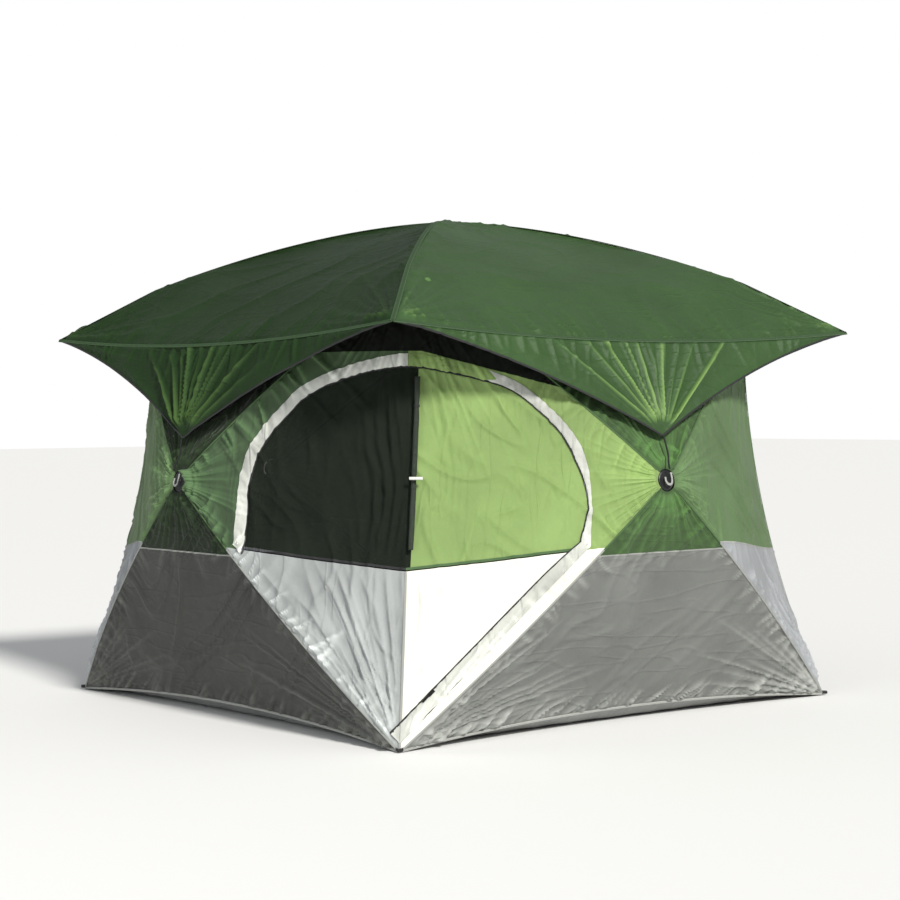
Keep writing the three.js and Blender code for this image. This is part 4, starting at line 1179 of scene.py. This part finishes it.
fly_tapes()
for turn in range(4):
    for part in ("lower", "upper"):
        for end in (0, 1):
            add_pole_seam(turn, part, end)
corner_seams()
hem_tapes()
add_groundsheet()
for turn in range(4):
    add_inner_roof(turn, 71 + turn)
    add_hub_trim(turn)
    add_pocket(turn, True)
    add_pocket(turn, False)

# ---------------------------------------------------------------- CAD nodes that stay

FINISHES = [("pole", "pole_fibreglass"), ("fly_batten", "pole_fibreglass"), ("hub", "black_plastic"),
            ("window_toggle", "toggle_plastic"), ("zip_slider", "zip_metal")]
for name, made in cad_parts.items():
    for prefix, finish in FINISHES:
        if name.startswith(prefix):
            made.data.materials.clear()
            made.data.materials.append(MATERIALS[finish])

# ---------------------------------------------------------------- stage, light and camera

KEY_STRENGTH, KEY_FROM, WORLD_STRENGTH = 3.6, (0.80, -0.16, 0.58), 0.36


def add_stage():
    mesh = bpy.data.meshes.new("studio_floor")
    reach = 60.0
    corners = [(-reach, -reach), (reach, -reach), (reach, reach), (-reach, reach)]
    mesh.from_pydata([(x, y, -0.001) for x, y in corners], [], [(0, 1, 2, 3)])
    material, _, shader = new_material("studio_floor")
    shader.inputs["Base Color"].default_value = (0.92, 0.92, 0.91, 1)
    shader.inputs["Roughness"].default_value = 0.9
    mesh.materials.append(material)
    floor = bpy.data.objects.new("studio_floor", mesh)
    bpy.context.scene.collection.objects.link(floor)


def add_light(name, place, target, size, power, colour=(1, 1, 1)):
    data = bpy.data.lights.new(name, "AREA")
    data.shape, data.size, data.energy, data.color = "DISK", size, power, colour
    lamp = bpy.data.objects.new(name, data)
    lamp.location = place
    lamp.rotation_euler = (Vector(target) - Vector(place)).to_track_quat("-Z", "Y").to_euler()
    bpy.context.scene.collection.objects.link(lamp)


def add_key_light():
    """A broad, distant key light, so that the floor is evenly lit."""
    data = bpy.data.lights.new("key", "SUN")
    data.energy, data.angle, data.color = KEY_STRENGTH, math.radians(9), (1.0, 0.975, 0.93)
    lamp = bpy.data.objects.new("key", data)
    lamp.rotation_euler = Vector(KEY_FROM).to_track_quat("Z", "Y").to_euler()
    bpy.context.scene.collection.objects.link(lamp)


def add_world():
    """A soft sky that lights the tent, behind a plain white backdrop."""
    world = bpy.data.worlds.new("studio")
    world.use_nodes = True
    tree = world.node_tree
    sky = tree.nodes["Background"]
    sky.inputs["Color"].default_value = (0.95, 0.97, 1.0, 1)
    sky.inputs["Strength"].default_value = WORLD_STRENGTH
    backdrop = tree.nodes.new("ShaderNodeBackground")
    backdrop.inputs["Color"].default_value = (1, 1, 1, 1)
    rays, both = tree.nodes.new("ShaderNodeLightPath"), tree.nodes.new("ShaderNodeMixShader")
    tree.links.new(rays.outputs["Is Camera Ray"], both.inputs[0])
    tree.links.new(sky.outputs[0], both.inputs[1])
    tree.links.new(backdrop.outputs[0], both.inputs[2])
    tree.links.new(both.outputs[0], tree.nodes["World Output"].inputs["Surface"])
    bpy.context.scene.world = world


def add_camera():
    """The photograph's standing eye height and direction, a long lens from about nine metres."""
    place, azimuth, pitch, roll = Vector((7.366, -5.934, 1.282)), 51.029, -1.093, -0.346
    turn, dip = math.radians(azimuth), math.radians(pitch)
    forward = Vector((-math.sin(turn) * math.cos(dip), math.cos(turn) * math.cos(dip), math.sin(dip)))
    right = forward.cross(Vector((0, 0, 1))).normalized()
    up = right.cross(forward)
    right, up = (right * math.cos(math.radians(roll)) + up * math.sin(math.radians(roll)),
                 up * math.cos(math.radians(roll)) - right * math.sin(math.radians(roll)))
    data = bpy.data.cameras.new("camera")
    data.lens, data.sensor_width = 83.22, 36.0
    data.clip_end = 200
    camera = bpy.data.objects.new("camera", data)
    camera.matrix_world = Matrix((right, up, -forward)).transposed().to_4x4()
    camera.location = place
    bpy.context.scene.collection.objects.link(camera)
    bpy.context.scene.camera = camera


add_stage()
add_world()
add_camera()
add_key_light()
add_light("fill", (3.0, -9.0, 3.0), (0, 0, 1.0), 5.0, 120, (0.92, 0.96, 1.0))
bpy.context.scene.view_settings.view_transform = "Standard"
